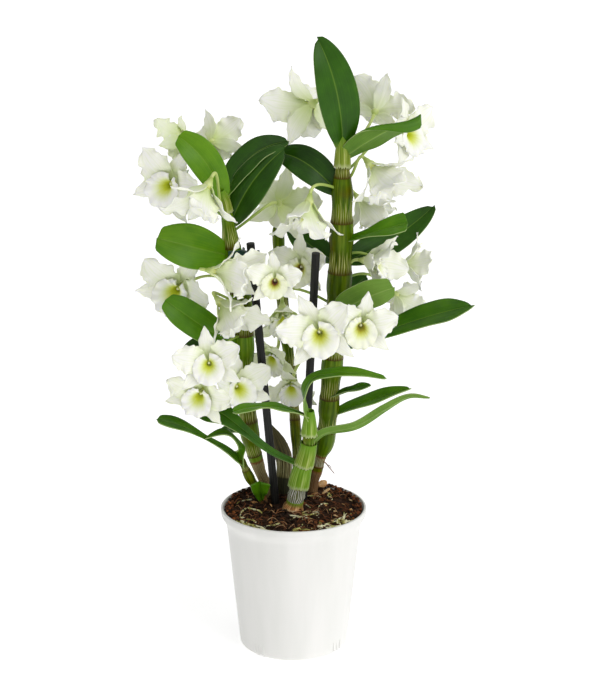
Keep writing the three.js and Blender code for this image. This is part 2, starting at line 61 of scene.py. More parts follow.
# Every table in this file gives lengths in millimetres and angles in degrees.
MM = 0.001
LENS = {
    "elevation": 16.2, "distance": 1700.0, "aim": (5.3, 0.0, 261.5), "focal_px": 2104.0,
    "longer_side_px": 683,
}
SKY = {"toward": (0.62, -0.35, 0.70), "dim": 0.27, "bright": 0.80}
SUN = {"toward": (1.0, -0.9, 1.2), "strength": 0.78, "spread": 35}
FLOOR_REACH = 12000.0
scene = bpy.context.scene
scene.view_settings.view_transform = "Standard"


def linear(hex_colour):
    """An sRGB hex colour as linear red, green, blue and alpha."""
    parts = [int(hex_colour[i:i + 2], 16) / 255 for i in (1, 3, 5)]
    return [c / 12.92 if c <= 0.04045 else ((c + 0.055) / 1.055) ** 2.4 for c in parts] + [1.0]


def add_node(tree, kind, inputs=None, stops=(), **settings):
    """Adds a shader node, with its settings and a colour ramp's stops of place and hex colour."""
    made = tree.nodes.new(kind)
    for name, value in settings.items():
        setattr(made, name, value)
    for k, (place, colour) in enumerate(stops):
        stop = made.color_ramp.elements[k] if k < 2 else made.color_ramp.elements.new(place)
        stop.position = place
        stop.color = linear(colour)
    set_inputs(made, inputs or {})
    return made


def set_inputs(node, inputs):
    """Each input holds a value, or follows a socket or the first socket that a node gives."""
    for name, value in inputs.items():
        if isinstance(value, bpy.types.Node):
            value = next(output for output in value.outputs if output.enabled)
        if isinstance(value, bpy.types.NodeSocket):
            node.id_data.links.new(value, node.inputs[name])
        else:
            node.inputs[name].default_value = value


def new_material(name):
    """A material, its node tree and its Principled shader."""
    material = bpy.data.materials.new(name)
    material.use_nodes = True
    return material, material.node_tree, material.node_tree.nodes["Principled BSDF"]


world = bpy.data.worlds.new("white_studio")
world.use_nodes = True
scene.world = world
tree = world.node_tree
way = add_node(tree, "ShaderNodeTexCoord").outputs["Generated"]
facing = add_node(tree, "ShaderNodeVectorMath", {0: way, 1: SKY["toward"]}, operation="DOT_PRODUCT")
level = add_node(
    tree, "ShaderNodeMapRange",
    {"Value": facing, "From Min": -0.35, "From Max": 1.0, "To Min": SKY["dim"], "To Max": SKY["bright"]},
    interpolation_type="SMOOTHSTEP",
)
# The camera sees plain white past the floor's edge, whatever light comes from there.
seen = add_node(tree, "ShaderNodeLightPath").outputs["Is Camera Ray"]
glow = add_node(tree, "ShaderNodeMix", {0: seen, 2: level, 3: 1.0})
set_inputs(tree.nodes["Background"], {"Color": linear("#FFFFFF"), "Strength": glow})

pitch = math.radians(LENS["elevation"])
camera_data = bpy.data.cameras.new("camera")
camera_data.sensor_width = 36.0
camera_data.lens = LENS["focal_px"] * camera_data.sensor_width / LENS["longer_side_px"]
camera_data.clip_start = 0.05
camera = bpy.data.objects.new("camera", camera_data)
gaze = Vector((0, math.cos(pitch), -math.sin(pitch)))
camera.location = (Vector(LENS["aim"]) - gaze * LENS["distance"]) * MM
camera.rotation_euler = (math.pi / 2 - pitch, 0, 0)
scene.collection.objects.link(camera)
scene.camera = camera

sun_data = bpy.data.lights.new("key_light", "SUN")
sun_data.energy = SUN["strength"]
sun_data.angle = math.radians(SUN["spread"])
sun = bpy.data.objects.new("key_light", sun_data)
sun.rotation_euler = Vector(SUN["toward"]).to_track_quat("Z", "Y").to_euler()
scene.collection.objects.link(sun)

# The floor is a white paper sweep, bright enough to read as plain white.
bm = bmesh.new()
bmesh.ops.create_grid(bm, x_segments=1, y_segments=1, size=FLOOR_REACH * MM)
floor_mesh = bpy.data.meshes.new("floor")
bm.to_mesh(floor_mesh)
bm.free()
floor = bpy.data.objects.new("floor", floor_mesh)
scene.collection.objects.link(floor)
floor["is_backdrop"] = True
paper_sweep, tree, shader = new_material("white_paper_sweep")
set_inputs(shader, {
    "Base Color": linear("#F8F8F8"), "Roughness": 0.9, "Specular IOR Level": 0.1,
    "Emission Color": linear("#FFFFFF"), "Emission Strength": 0.48,
})
floor_mesh.materials.append(paper_sweep)

# ------------------------------------------------------------------ pot
# A thin growing pot injection moulded in white polypropylene. Its wall drafts out to a
# shoulder, the rim stands out from that, and four drain slots cut through the heel.

POT = {
    "height": 120.0, "rim": 60.0, "rim_depth": 11.0, "mouth": 58.0, "shoulder": 55.5,
    "base": 45.0, "wall": 2.0, "floor": 2.5, "heel": 4.0, "steps": 128, "crease": 38,
}
DRAIN = {
    "count": 4, "first": -128.0, "width": 7.0, "depth": 2.6, "start": 24.0, "end": 50.0, "round": (0.8, 3),
}
RIB = {"sizes": (1.6, 0.7, 8.0), "spacing": 4.2, "height": 7.5, "sunk": 0.7, "round": (0.25, 2)}


def new_piece(name, bm, materials, slot, *nodes, smooth=None):
    """Makes an object of a finished bmesh, and ties it to the frame.

    Edges sharper than the angle smooth, in degrees, stay sharp."""
    mesh = bpy.data.meshes.new(name)
    bm.to_mesh(mesh)
    bm.free()
    for material in materials:
        mesh.materials.append(material)
    mesh.shade_smooth()
    if smooth is not None:
        mesh.set_sharp_from_angle(angle=math.radians(smooth))
    piece = bpy.data.objects.new(name, mesh)
    scene.collection.objects.link(piece)
    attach(piece, "root")
    if nodes:
        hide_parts(*nodes)
    return piece


def turned(profile, steps):
    """A bmesh of a profile in millimetres, spun once round the Z axis and closed on it."""
    bm = bmesh.new()
    points = [bm.verts.new((r * MM, 0, z * MM)) for r, z in profile]
    edges = [bm.edges.new(pair) for pair in zip(points, points[1:])]
    bmesh.ops.spin(
        bm, geom=points + edges, cent=(0, 0, 0), axis=(0, 0, 1), angle=2 * math.pi,
        steps=steps, use_merge=True,
    )
    bmesh.ops.remove_doubles(bm, verts=bm.verts, dist=1e-6)
    bmesh.ops.recalc_face_normals(bm, faces=bm.faces)
    return bm


def blocks_over_drains(sizes, places, rounding, longer_than):
    """A bmesh of blocks at places on the pot's +X side, in millimetres, repeated at each slot.

    rounding is the size and segments of the round on the edges that are long enough."""
    bm = bmesh.new()
    for k in range(DRAIN["count"]):
        turn = Matrix.Rotation(math.radians(DRAIN["first"] + k * 360 / DRAIN["count"]), 3, "Z")
        for place in places:
            made = bmesh.ops.create_cube(bm, size=1.0)["verts"]
            bmesh.ops.scale(bm, vec=sizes, verts=made)
            bmesh.ops.translate(bm, vec=place, verts=made)
            bmesh.ops.rotate(bm, cent=(0, 0, 0), matrix=turn, verts=made)
    bmesh.ops.scale(bm, vec=(MM, MM, MM), verts=bm.verts)
    bmesh.ops.bevel(
        bm, geom=[edge for edge in bm.edges if edge.calc_length() > longer_than * MM],
        offset=rounding[0] * MM, segments=rounding[1], profile=0.5, affect="EDGES", material=-1,
    )
    return bm


def drawn_noise(tree, place, stretch, detail):
    """Noise that is drawn out into streaks, with this many spots along each axis of a place."""
    stretched = add_node(tree, "ShaderNodeMapping", {"Vector": place, "Scale": stretch})
    return add_node(tree, "ShaderNodeTexNoise", {"Vector": stretched, "Scale": 1.0, "Detail": detail})


# Moulded polypropylene has a satin skin with a very fine grain and faint flow lines.
white_pp, tree, shader = new_material("white_moulded_polypropylene")
spot = add_node(tree, "ShaderNodeTexCoord").outputs["Object"]
grain = add_node(tree, "ShaderNodeTexNoise", {"Vector": spot, "Scale": 900.0, "Detail": 2.0})
flow = drawn_noise(tree, spot, (60.0, 60.0, 6.0), 3.0)
tone = add_node(tree, "ShaderNodeValToRGB", {"Fac": flow}, [(0.3, "#E1E1DD"), (0.7, "#E9E8E5")])
skin = add_node(tree, "ShaderNodeBump", {"Height": grain, "Strength": 0.12, "Distance": 0.0002})
set_inputs(shader, {
    "Base Color": tone, "Roughness": 0.42, "Normal": skin,
    "Subsurface Weight": 0.15, "Subsurface Radius": (0.004, 0.004, 0.004),
})

base, heel, wall, rim = POT["base"], POT["heel"], POT["wall"], POT["rim"]
mouth, neck, top = POT["mouth"], POT["shoulder"], POT["height"]
shoulder = top - POT["rim_depth"]
heel_arc = [
    (base - heel * (1 - math.sin(lean)), heel * (1 - math.cos(lean)))
    for lean in [math.radians(15 * k) for k in range(7)]
]
pot_profile = [(0, 0), (20, 0), (38, 0)] + heel_arc + [
    (50.2, 54), (neck - 0.3, shoulder - 6), (neck + 0.3, shoulder - 2.5), (neck + 1.2, shoulder - 0.2),
    (rim - 2.0, shoulder + 2.0), (rim - 0.8, shoulder + 4.0), (rim - 0.1, shoulder + 5.8),
    (rim, shoulder + 7), (rim, top - 0.6), (rim - 0.5, top), (mouth + 0.4, top), (mouth, top - 0.5),
    (mouth - 0.4, shoulder + 3), (neck - wall, shoulder - 4), (base - wall + 0.3, heel + 1),
    (base - wall - 2.4, POT["floor"]), (0, POT["floor"]),
]
pot = new_piece("white_growing_pot", turned(pot_profile, POT["steps"]), [white_pp], "white_pot", "pot")
slot_length = DRAIN["end"] - DRAIN["start"]
bm = blocks_over_drains(
    (slot_length, DRAIN["width"], 2 * DRAIN["depth"]), [(DRAIN["start"] + slot_length / 2, 0, 0)],
    DRAIN["round"], slot_length / 2,
)
cutter_mesh = bpy.data.meshes.new("slot_cutter")
bm.to_mesh(cutter_mesh)
bm.free()
cutter = bpy.data.objects.new("slot_cutter", cutter_mesh)
scene.collection.objects.link(cutter)
cut = pot.modifiers.new("slots", "BOOLEAN")
cut.object = cutter
cut.operation = "DIFFERENCE"
cut.solver = "EXACT"
depsgraph = bpy.context.evaluated_depsgraph_get()
depsgraph.update()
cut_mesh = bpy.data.meshes.new_from_object(pot.evaluated_get(depsgraph))
pot.modifiers.clear()
pot.data = cut_mesh
bpy.data.objects.remove(cutter)
pot.data.shade_smooth()
pot.data.set_sharp_from_angle(angle=math.radians(POT["crease"]))

# Three short upright ribs stiffen the heel over each slot.
rib_out = base - RIB["sunk"] + RIB["sizes"][0] / 2
rib_places = [(rib_out, k * RIB["spacing"], RIB["height"]) for k in (-1, 0, 1)]
ribs = blocks_over_drains(RIB["sizes"], rib_places, RIB["round"], 0.0)
new_piece("heel_ribs", ribs, [white_pp], "white_pot")

# ------------------------------------------------------------------ potting mix
# Damp chopped pine bark with coir fibre, heaped a little at the back and level at the rim.
# Loose chips lie on it, and pale roots run over the front edge just inside the pot.

MIX = {"rim_level": 117.0, "crown": 1.5, "back_rise": 5.0, "lump": 1.3, "gap": 0.3, "cells": 120}
MIX_EDGE = mouth - 5 * MIX["gap"]
CHIP_COUNTS = {"loose": 760, "at_rim": 420}
# A torn chip, a sliver and a red one: place, rise, sizes, turns about X, Y and Z, and tone.
BIG_CHIPS = [
    (24, 44, 3.5, (10.0, 7.5, 5.5), (10, -18, 20), 0.92),
    (27, 29, 2.2, (10.0, 4.6, 1.8), (-10, -26, 30), 0.95),
    (23, -31, 0.6, (5.5, 3.6, 2.4), (0, 10, -20), 0.63),
]
# Roots and fibres wander: their points lie a stride apart, and turn by up to the sway, in radians.
ROOTS = {"count": 62, "in_front": 46, "points": 6, "stride": 3.7, "sway": 0.45, "within": MIX_EDGE - 1.6}
FIBRES = {"count": 240, "points": 4, "stride": 3.4, "sway": 0.7, "within": math.inf}
# Feet of the canes and stakes in the mix, as x, y and the radius to keep clear of chips.
FEET = [(16, 34, 7), (-22, 26, 7), (3, 44, 6), (-9, 36, 9), (0, -2, 8), (-26, 12, 6), (-15, 8, 6), (8, 14, 6)]


def mix_height(x, y):
    """Height of the mix in millimetres at a place in millimetres."""
    inwards = max(0.0, 1 - math.hypot(x, y) / mouth)
    lumps = math.sin(x * 0.31 + 1.3) * math.cos(y * 0.27) + math.sin(x * 0.17 - y * 0.23)
    back = MIX["back_rise"] * ((y + mouth) / (2 * mouth)) ** 2
    rise = MIX["crown"] * inwards ** 0.8 + back * min(1.0, 4 * inwards) + MIX["lump"] * lumps * inwards
    return MIX["rim_level"] + rise


def keep_clear(x, y):
    """Whether a place on the mix is clear of every cane and stake, in millimetres."""
    return all(math.hypot(x - a, y - b) > r for a, b, r in FEET)


def vary(tree, level, noise_node, amount):
    """A level that a noise moves up and down, by this amount in all."""
    centred = add_node(tree, "ShaderNodeMath", {0: noise_node, 1: 0.5}, operation="SUBTRACT")
    return add_node(tree, "ShaderNodeMath", {0: centred, 1: amount, 2: level}, operation="MULTIPLY_ADD")


# Bark is matt and rough, from near black where damp to red-brown and tan on fresh breaks.
bark_chips, tree, shader = new_material("damp_pine_bark")
spot = add_node(tree, "ShaderNodeTexCoord").outputs["Object"]
lot = add_node(tree, "ShaderNodeAttribute", attribute_name="tone").outputs["Fac"]
grit = add_node(tree, "ShaderNodeTexNoise", {"Vector": spot, "Scale": 420.0, "Detail": 6.0, "Roughness": 0.7})
tone = add_node(tree, "ShaderNodeValToRGB", {"Fac": vary(tree, lot, grit, 0.55)}, [
    (0.0, "#1C110A"), (0.28, "#3A2314"), (0.5, "#683D20"), (0.62, "#8C4C28"), (0.75, "#A87238"),
    (0.88, "#CF9A62"), (1.0, "#E2C092"),
])
crumb = add_node(tree, "ShaderNodeBump", {"Height": grit, "Strength": 0.9, "Distance": 0.0012})
set_inputs(shader, {"Base Color": tone, "Roughness": 0.85, "Specular IOR Level": 0.2, "Normal": crumb})

bm = bmesh.new()
tone_layer = bm.verts.layers.float.new("tone")
bmesh.ops.create_grid(bm, x_segments=MIX["cells"], y_segments=MIX["cells"], size=1.0)
for vertex in bm.verts:
    x, y = vertex.co.x, vertex.co.y
    x, y = x * math.sqrt(1 - y * y / 2) * MIX_EDGE, y * math.sqrt(1 - x * x / 2) * MIX_EDGE
    inside = min(1.0, 6 * (1 - math.hypot(x, y) / MIX_EDGE))
    crumbs = noise.fractal(Vector((x, y, 3.0)) / 4.5, 1.0, 2.0, 4)
    vertex.co = Vector((x, y, mix_height(x, y) + 1.7 * crumbs * inside - 0.8 * inside)) * MM
    vertex[tone_layer] = 0.16 + 0.3 * noise.fractal(Vector((x, y, 0)) / 5, 1.0, 2.0, 2)
rim_edges = [edge for edge in bm.edges if edge.is_boundary]
for radius, height in ((neck - 2.6, shoulder - 4), (base - 2.6, heel + 1)):
    side = bmesh.ops.extrude_edge_only(bm, edges=rim_edges)["geom"]
    rim_edges = [part for part in side if isinstance(part, bmesh.types.BMEdge)]
    for vertex in (part for part in side if isinstance(part, bmesh.types.BMVert)):
        out = vertex.co.to_2d().normalized() * radius * MM
        vertex.co = Vector((out.x, out.y, height * MM))
bmesh.ops.contextual_create(bm, geom=[edge for edge in bm.edges if edge.is_boundary])
bmesh.ops.recalc_face_normals(bm, faces=bm.faces)
new_piece("potting_mix_bed", bm, [bark_chips], "bark_mix", "potting_mix")


def add_lump(bm, sizes, rough, shade):
    """Adds a lump of bark of these sizes, with its points moved by up to this share of them."""
    tone_layer = bm.verts.layers.float["tone"]
    made = bmesh.ops.create_icosphere(bm, subdivisions=1, radius=0.5)["verts"]
    bmesh.ops.scale(bm, vec=sizes, verts=made)
    for vertex in made:
        vertex.co += Vector([chance.uniform(-rough, rough) * size for size in sizes])
        vertex[tone_layer] = shade
    return made


def settle(bm, made, turn, x, y, lift):
    """Turns a lump and lays it on the mix."""
    bmesh.ops.rotate(bm, cent=(0, 0, 0), matrix=turn, verts=made)
    bmesh.ops.translate(bm, vec=(x, y, mix_height(x, y) + lift), verts=made)
    bmesh.ops.scale(bm, vec=(MM, MM, MM), verts=made)


chance = random.Random(11)
bm = bmesh.new()
tone_layer = bm.verts.layers.float.new("tone")
for k in range(CHIP_COUNTS["loose"]):
    radius = (MIX_EDGE - 3) * math.sqrt(chance.random())
    angle = chance.uniform(0, 2 * math.pi)
    x, y = radius * math.cos(angle), radius * math.sin(angle)
    length = chance.uniform(2.0, 7.0)
    sizes = Vector((length, length * chance.uniform(0.3, 0.7), length * chance.uniform(0.14, 0.32)))
    # The chips are darker on the left.
    shade = chance.choice([0.1, 0.16, 0.24, 0.3, 0.4, 0.5]) * (0.45 if x < 4 else 1.0)
    if chance.random() < 0.05:
        shade = chance.uniform(0.75, 1.0)
    if not keep_clear(x, y):
        continue
    made = add_lump(bm, sizes, 0.14, shade)
    tip = Matrix.Rotation(chance.gauss(0, 0.4), 3, "X") @ Matrix.Rotation(chance.gauss(0, 0.35), 3, "Y")
    heading = Matrix.Rotation(chance.uniform(0, 2 * math.pi), 3, "Z")
    settle(bm, made, heading @ tip, x, y, chance.uniform(0.0, 1.1))
# The heap stands a little proud of the rim at the back and sides, where crumbs hide the wall.
for k in range(CHIP_COUNTS["at_rim"]):
    angle = math.radians(chance.uniform(-34, 214))
    radius = MIX_EDGE - chance.uniform(0.8, 6.0)
    sizes = Vector([chance.uniform(1.6, 4.6), chance.uniform(1.4, 3.0), chance.uniform(1.2, 2.6)])
    lift = 1.0 + chance.uniform(0.0, 3.2) * min(1.0, max(0.0, 0.9 * math.sin(angle) + 0.8))
    made = add_lump(bm, sizes, 0.16, chance.choice([0.12, 0.2, 0.28, 0.4, 0.5, 0.62]))
    heading = Matrix.Rotation(chance.uniform(0, 2 * math.pi), 3, "Z")
    tip = Matrix.Rotation(chance.gauss(0, 0.5), 3, "X")
    settle(bm, made, heading @ tip, radius * math.cos(angle), radius * math.sin(angle), lift)
for x, y, rise, sizes, turns, shade in BIG_CHIPS:
    made = bmesh.ops.create_icosphere(bm, subdivisions=2, radius=0.5)["verts"]
    bmesh.ops.scale(bm, vec=sizes, verts=made)
    for vertex in made:
        vertex.co *= 1 + 0.22 * noise.noise(vertex.co / 2 + Vector((x, y, 0)))
        vertex[tone_layer] = shade
    settle(bm, made, Euler([math.radians(turn) for turn in turns]).to_matrix(), x, y, rise)
new_piece("bark_chips", bm, [bark_chips], "bark_mix", smooth=20)


def smooth_line(points):
    """A curve of 0 to 1 through points, evenly timed between them, as a function."""
    points = [Vector(point) for point in points]
    ends = [2 * points[0] - points[1]] + points + [2 * points[-1] - points[-2]]
    spans = len(points) - 1

    def at(t):
        place = min(max(t, 0.0), 1.0) * spans
        k = min(int(place), spans - 1)
        f = place - k
        a, b, c, d = ends[k:k + 4]
        return 0.5 * (
            2 * b + (c - a) * f + (2 * a - 5 * b + 4 * c - d) * f * f + (3 * b - a - 3 * c + d) * f ** 3
        )

    return at


def add_sheet(bm, grid, place, values=None):
    """Adds a grid of cells across and along to bm, with its points at place(u, v), in
    millimetres, for u and v of 0 to 1. values gives its points numbers, by a layer's name."""
    across, along = grid
    made = bmesh.ops.create_grid(bm, x_segments=across, y_segments=along, size=1.0, calc_uvs=True)["verts"]
    layers = {bm.verts.layers.float[name]: value for name, value in (values or {}).items()}
    for vertex in made:
        u, v = (vertex.co.x + 1) / 2, (vertex.co.y + 1) / 2
        vertex.co = place(u, v) * MM
        for layer, value in layers.items():
            vertex[layer] = value
    return made


def round_place(line, radius, step=1e-3):
    """A place function for a tube that follows a line, with its seam at the back.

    radius gives millimetres at an angle round the line and a place along it."""
    frames = {}

    def place(u, v):
        key = round(v, 6)
        if key not in frames:
            tangent = (line(min(1, v + step)) - line(max(0, v - step))).normalized()
            side = (Vector((1, 0, 0)) - tangent * tangent.x).normalized()
            frames[key] = (line(v), side, tangent.cross(side))
        middle, side, back = frames[key]
        angle = 2 * math.pi * u
        return middle + (back * math.cos(angle) + side * math.sin(angle)) * radius(angle, v)

    return place


def weld(bm):
    """Joins the seams of the tubes in bm and closes their ends."""
    bmesh.ops.remove_doubles(bm, verts=bm.verts, dist=1e-6)
    bmesh.ops.holes_fill(bm, edges=[edge for edge in bm.edges if edge.is_boundary], sides=0)
    bmesh.ops.recalc_face_normals(bm, faces=bm.faces)


def new_sheet_bmesh(*layers):
    """An empty bmesh with a UV map and these float layers on its points."""
    bm = bmesh.new()
    bm.loops.layers.uv.new("UVMap")
    for layer in layers:
        bm.verts.layers.float.new(layer)
    return bm


def wander(x, y, heading, form, lift, sink):
    """Points of a root or fibre that wanders over the mix, with its two ends pushed into it."""
    points = []
    for k in range(form["points"]):
        points.append(Vector((x, y, mix_height(x, y) + (lift if 0 < k < form["points"] - 1 else -sink))))
        heading += chance.uniform(-form["sway"], form["sway"])
        x, y = x + form["stride"] * math.cos(heading), y + form["stride"] * math.sin(heading)
        inwards = min(1.0, form["within"] / math.hypot(x, y))
        x, y = x * inwards, y * inwards
    return points


# Orchid roots are thick and round, with a matt, pale green-white skin stained by the bark.
root_skin, tree, shader = new_material("velamen_root_skin")
spot = add_node(tree, "ShaderNodeTexCoord").outputs["Object"]
stain = add_node(tree, "ShaderNodeTexNoise", {"Vector": spot, "Scale": 130.0, "Detail": 5.0})
tone = add_node(tree, "ShaderNodeValToRGB", {"Fac": stain}, [
    (0.34, "#6A6420"), (0.46, "#B2AC5C"), (0.58, "#E6E2BC"),
])
pores = add_node(tree, "ShaderNodeBump", {"Height": stain, "Strength": 0.3, "Distance": 0.0006})
set_inputs(shader, {"Base Color": tone, "Roughness": 0.7, "Normal": pores})

bm = new_sheet_bmesh()
for k in range(ROOTS["count"]):
    front = k < ROOTS["in_front"]
    angle = math.radians(chance.uniform(-160, -20) if front else chance.uniform(0, 360))
    radius = chance.uniform(MIX_EDGE - 9, MIX_EDGE - 2) if front else chance.uniform(12, 44)
    heading = angle + math.pi / 2 + chance.uniform(-0.7, 0.7)
    thick = chance.uniform(0.5, 1.1)
    points = wander(
        radius * math.cos(angle), radius * math.sin(angle), heading, ROOTS, 0.6 * thick, 1.4 * thick,
    )
    if all(keep_clear(p.x, p.y) for p in points):
        taper = round_place(smooth_line(points), lambda angle, v, r=thick: r * (1 - 0.25 * v))
        add_sheet(bm, (8, 16), taper)
weld(bm)
new_piece("surface_roots", bm, [root_skin], "bark_mix")

# Coir and dead rootlets are thin, matt and brown, from near black to straw.
dry_rootlet, tree, shader = new_material("dry_rootlet_and_coir")
spot = add_node(tree, "ShaderNodeTexCoord").outputs["Object"]
lot = add_node(tree, "ShaderNodeAttribute", attribute_name="tone").outputs["Fac"]
stain = add_node(tree, "ShaderNodeTexNoise", {"Vector": spot, "Scale": 260.0, "Detail": 3.0})
tone = add_node(tree, "ShaderNodeValToRGB", {"Fac": vary(tree, lot, stain, 0.5)}, [
    (0.0, "#22140C"), (0.4, "#6E3F24"), (0.7, "#9A6A44"), (1.0, "#CBB08A"),
])
set_inputs(shader, {"Base Color": tone, "Roughness": 0.8, "Specular IOR Level": 0.2})

bm = new_sheet_bmesh("tone")
for k in range(FIBRES["count"]):
    radius, angle = (MIX_EDGE - 4) * math.sqrt(chance.random()), chance.uniform(0, 2 * math.pi)
    heading, lift = chance.uniform(0, 2 * math.pi), chance.uniform(0.8, 2.6)
    points = wander(radius * math.cos(angle), radius * math.sin(angle), heading, FIBRES, lift, 0.5)
    if all(keep_clear(p.x, p.y) and math.hypot(p.x, p.y) < MIX_EDGE - 1 for p in points):
        fibre = round_place(smooth_line(points), lambda angle, v, r=chance.uniform(0.18, 0.38): r)
        add_sheet(bm, (5, 8), fibre, {"tone": chance.choice([0.2, 0.35, 0.45, 0.6, 0.8])})
weld(bm)
new_piece("coir_fibres", bm, [dry_rootlet], "bark_mix")

# ------------------------------------------------------------------ stakes
# Two plant stakes, each a black plastic rod fluted lengthwise and cut square on top. Each is
# pushed down through the mix, and leans a little where the canes pull on it.

STAKE = {"radius": 3.4, "foot": 30.0, "flutes": 10, "flute_depth": 0.22, "grid": (80, 60), "crease": 40}
STAKES = {
    "stake_left": ((-15, 8, 118), (-34, -8, 345)),
    "stake_right": ((8, 14, 120), (18, -4, 336)),
}

# Extruded black plastic has a soft gloss, and fine draw lines that streak it lighter grey along its length.
black_rod, tree, shader = new_material("extruded_black_plastic")
uv = add_node(tree, "ShaderNodeUVMap", uv_map="UVMap")
draw = drawn_noise(tree, uv, (24.0, 3.0, 1.0), 5.0)
tone = add_node(tree, "ShaderNodeValToRGB", {"Fac": draw}, [(0.42, "#0F0F0E"), (0.72, "#2A2A28")])
lines = add_node(tree, "ShaderNodeBump", {"Height": draw, "Strength": 0.3, "Distance": 0.0003})
set_inputs(shader, {"Base Color": tone, "Roughness": 0.45, "Normal": lines, "Specular IOR Level": 0.25})


def stake_foot(low, high):
    """The foot of a stake in the mix, from two places on it."""
    low, high = Vector(low), Vector(high)
    return low + (high - low) * (STAKE["foot"] - low.z) / (high.z - low.z)


def stake_radius(angle, v):
    """A fluted rod that is pointed at its foot."""
    point = min(1.0, 0.25 + 12 * v)
    return point * (STAKE["radius"] - STAKE["flute_depth"] * (1 - math.cos(STAKE["flutes"] * angle)) / 2)


for name, (low, high) in STAKES.items():
    bm = new_sheet_bmesh()
    add_sheet(bm, STAKE["grid"], round_place(smooth_line([stake_foot(low, high), high]), stake_radius))
    weld(bm)
    new_piece(name + "_rod", bm, [black_rod], "stake", name, smooth=STAKE["crease"])

# ------------------------------------------------------------------ canes
# The jointed stems, fleshy and glossy. Above each joint the dried foot of the old leaf sheath
# clings to the cane as pale threads. Each cane stands in its own hole in the mix.

# Points up each cane and its radius at each, the heights of its joints, how old its skin is, and
# how papery that is at each height. On the front cane the skin's age also paints shade: it is set
# darker to stand for the shadow under the foot of each sheath.
CANES = {
    "cane_tall": {
        "line": [
            (14, 35, 88), (16, 34, 122), (21, 30, 148), (27, 27, 173), (31, 22, 226),
            (35, 18, 279), (38, 16, 324), (39, 14, 371), (39, 12, 408), (39, 12, 420),
        ],
        "radii": [4, 4.4, 5.4, 8.4, 9, 10, 10.4, 9.4, 5.8, 3.8],
        "joints": [125, 144, 177, 206, 242, 276, 315, 357, 394, 415],
        "age": 0.75,
        "paper": [(0, 0.36), (140, 0.36), (141, 0), (145, 0), (146, 0.78), (153, 0.62), (155, 0)],
    },
    "cane_left": {
        "line": [
            (-20, 27, 88), (-22, 26, 123), (-29, 24, 145), (-36, 20, 175), (-40, 14, 229),
            (-41, 10, 281), (-45, 8, 311), (-50, 5, 343), (-53, 2, 368), (-55, 0, 384),
        ],
        "radii": [4, 4.6, 5.4, 8, 8.7, 8.7, 8.6, 7.6, 4.6, 3.4],
        "joints": [133, 157, 188, 226, 264, 301, 339, 373],
        "age": 0.5, "paper": [(0, 0.4), (133, 0.5), (150, 0.6), (153, 0)],
    },
    "cane_middle": {
        "line": [(3, 44, 88), (3, 44, 119), (3, 46, 146), (-1, 54, 203), (-10, 58, 289), (-13, 57, 345)],
        "radii": [4, 4, 4.6, 5, 5.8, 5],
        "joints": [144, 178, 220, 264, 306],
        "age": 0.85, "paper": [(0, 0.4), (143, 0.42), (147, 0)],
    },
    "backbulb": {
        "line": [(-8, 36, 88), (-9, 36, 122), (-8, 38, 144), (-12, 42, 160), (-20, 46, 175)],
        "radii": [5, 6.4, 7.6, 6.6, 2],
        "joints": [134, 158],
        "age": 1.5, "paper": [(0, 0)],
    },
    "cane_front": {
        "line": [(-1, -1, 88), (0, -2, 118), (3, -4, 134), (7, -7, 155), (12, -10, 174), (13, -15, 204)],
        "radii": [4.6, 5.6, 7.8, 7.1, 6.2, 3.7],
        "joints": [131, 150, 173, 193],
        # The front cane's skin is set darker, as if older, to paint the shade under the foot of each sheath.
        "age": 0.5, "paper": [(0, 0.2), (122, 0.24), (124, 1), (138, 1), (139.5, 0)],
    },
    "shoot_left": {
        "line": [(-22, 13, 88), (-26, 12, 122), (-36, 6, 142), (-43, 2, 160)],
        "radii": [3.2, 3.8, 4.2, 3],
        "joints": [130, 150],
        "age": 1.0, "paper": [(0, 0.3), (122, 0.3), (125, 0)],
    },
}
# Cells round a cane and between joints, and its ribs, rings and lumps in shares of its girth.
CANE = {
    "sides": 52, "rings": 16, "ribs": 13, "rib_depth": 0.016, "ring": 0.045, "ring_height": 0.035,
    "lump": 0.025,
}


def smooth_step(t):
    """Eases 0 to 1."""
    t = min(max(t, 0.0), 1.0)
    return t * t * (3 - 2 * t)


def at_height(line, height):
    """How far along a rising line, 0 to 1, it reaches a height."""
    low, high = 0.0, 1.0
    for halving in range(24):
        middle = (low + high) / 2
        low, high = (middle, high) if line(middle).z < height else (low, middle)
    return low


def between(stops, place, ease=float):
    """A value at a place, from stops of place and value in order."""
    for (low, before), (high, after) in zip(stops, stops[1:]):
        if place < high:
            return before + (after - before) * ease(max(0.0, (place - low) / (high - low)))
    return stops[-1][1]


def swell(part):
    """Girth between two joints: wide at the lower one, waisted a third of the way up, then full."""
    waist = math.sin(math.pi * min(1.0, part / 0.6))
    full = math.sin(math.pi * max(0.0, part - 0.45) / 0.55)
    return 0.94 - 0.075 * waist + 0.06 * full


def cane_radius(cane, joint_stops):
    """Radius in millimetres at an angle and a place along the cane."""
    steps = len(cane["radii"]) - 1
    radius_stops = [(k / steps, girth) for k, girth in enumerate(cane["radii"])]

    def radius(angle, v):
        place = between(joint_stops, v)
        part = place - int(place)
        thread = min(1.0, 2.2 * part) * (1 - smooth_step((part - 0.3) / 0.15))
        ribs = CANE["rib_depth"] * math.cos(CANE["ribs"] * angle + 2 * int(place)) * thread
        from_joint = part if part < 0.5 else part - 1
        ring = CANE["ring"] * math.exp(-(from_joint / CANE["ring_height"]) ** 2)
        lump = CANE["lump"] * noise.noise(Vector((2 * math.cos(angle), 2 * math.sin(angle), 3 * place)))
        top = math.sqrt(max(0.0, 1 - max(0.0, (v - 0.98) / 0.02) ** 2))
        return between(radius_stops, v, smooth_step) * (swell(part) + ribs + ring + lump) * (0.3 + 0.7 * top)

    return radius


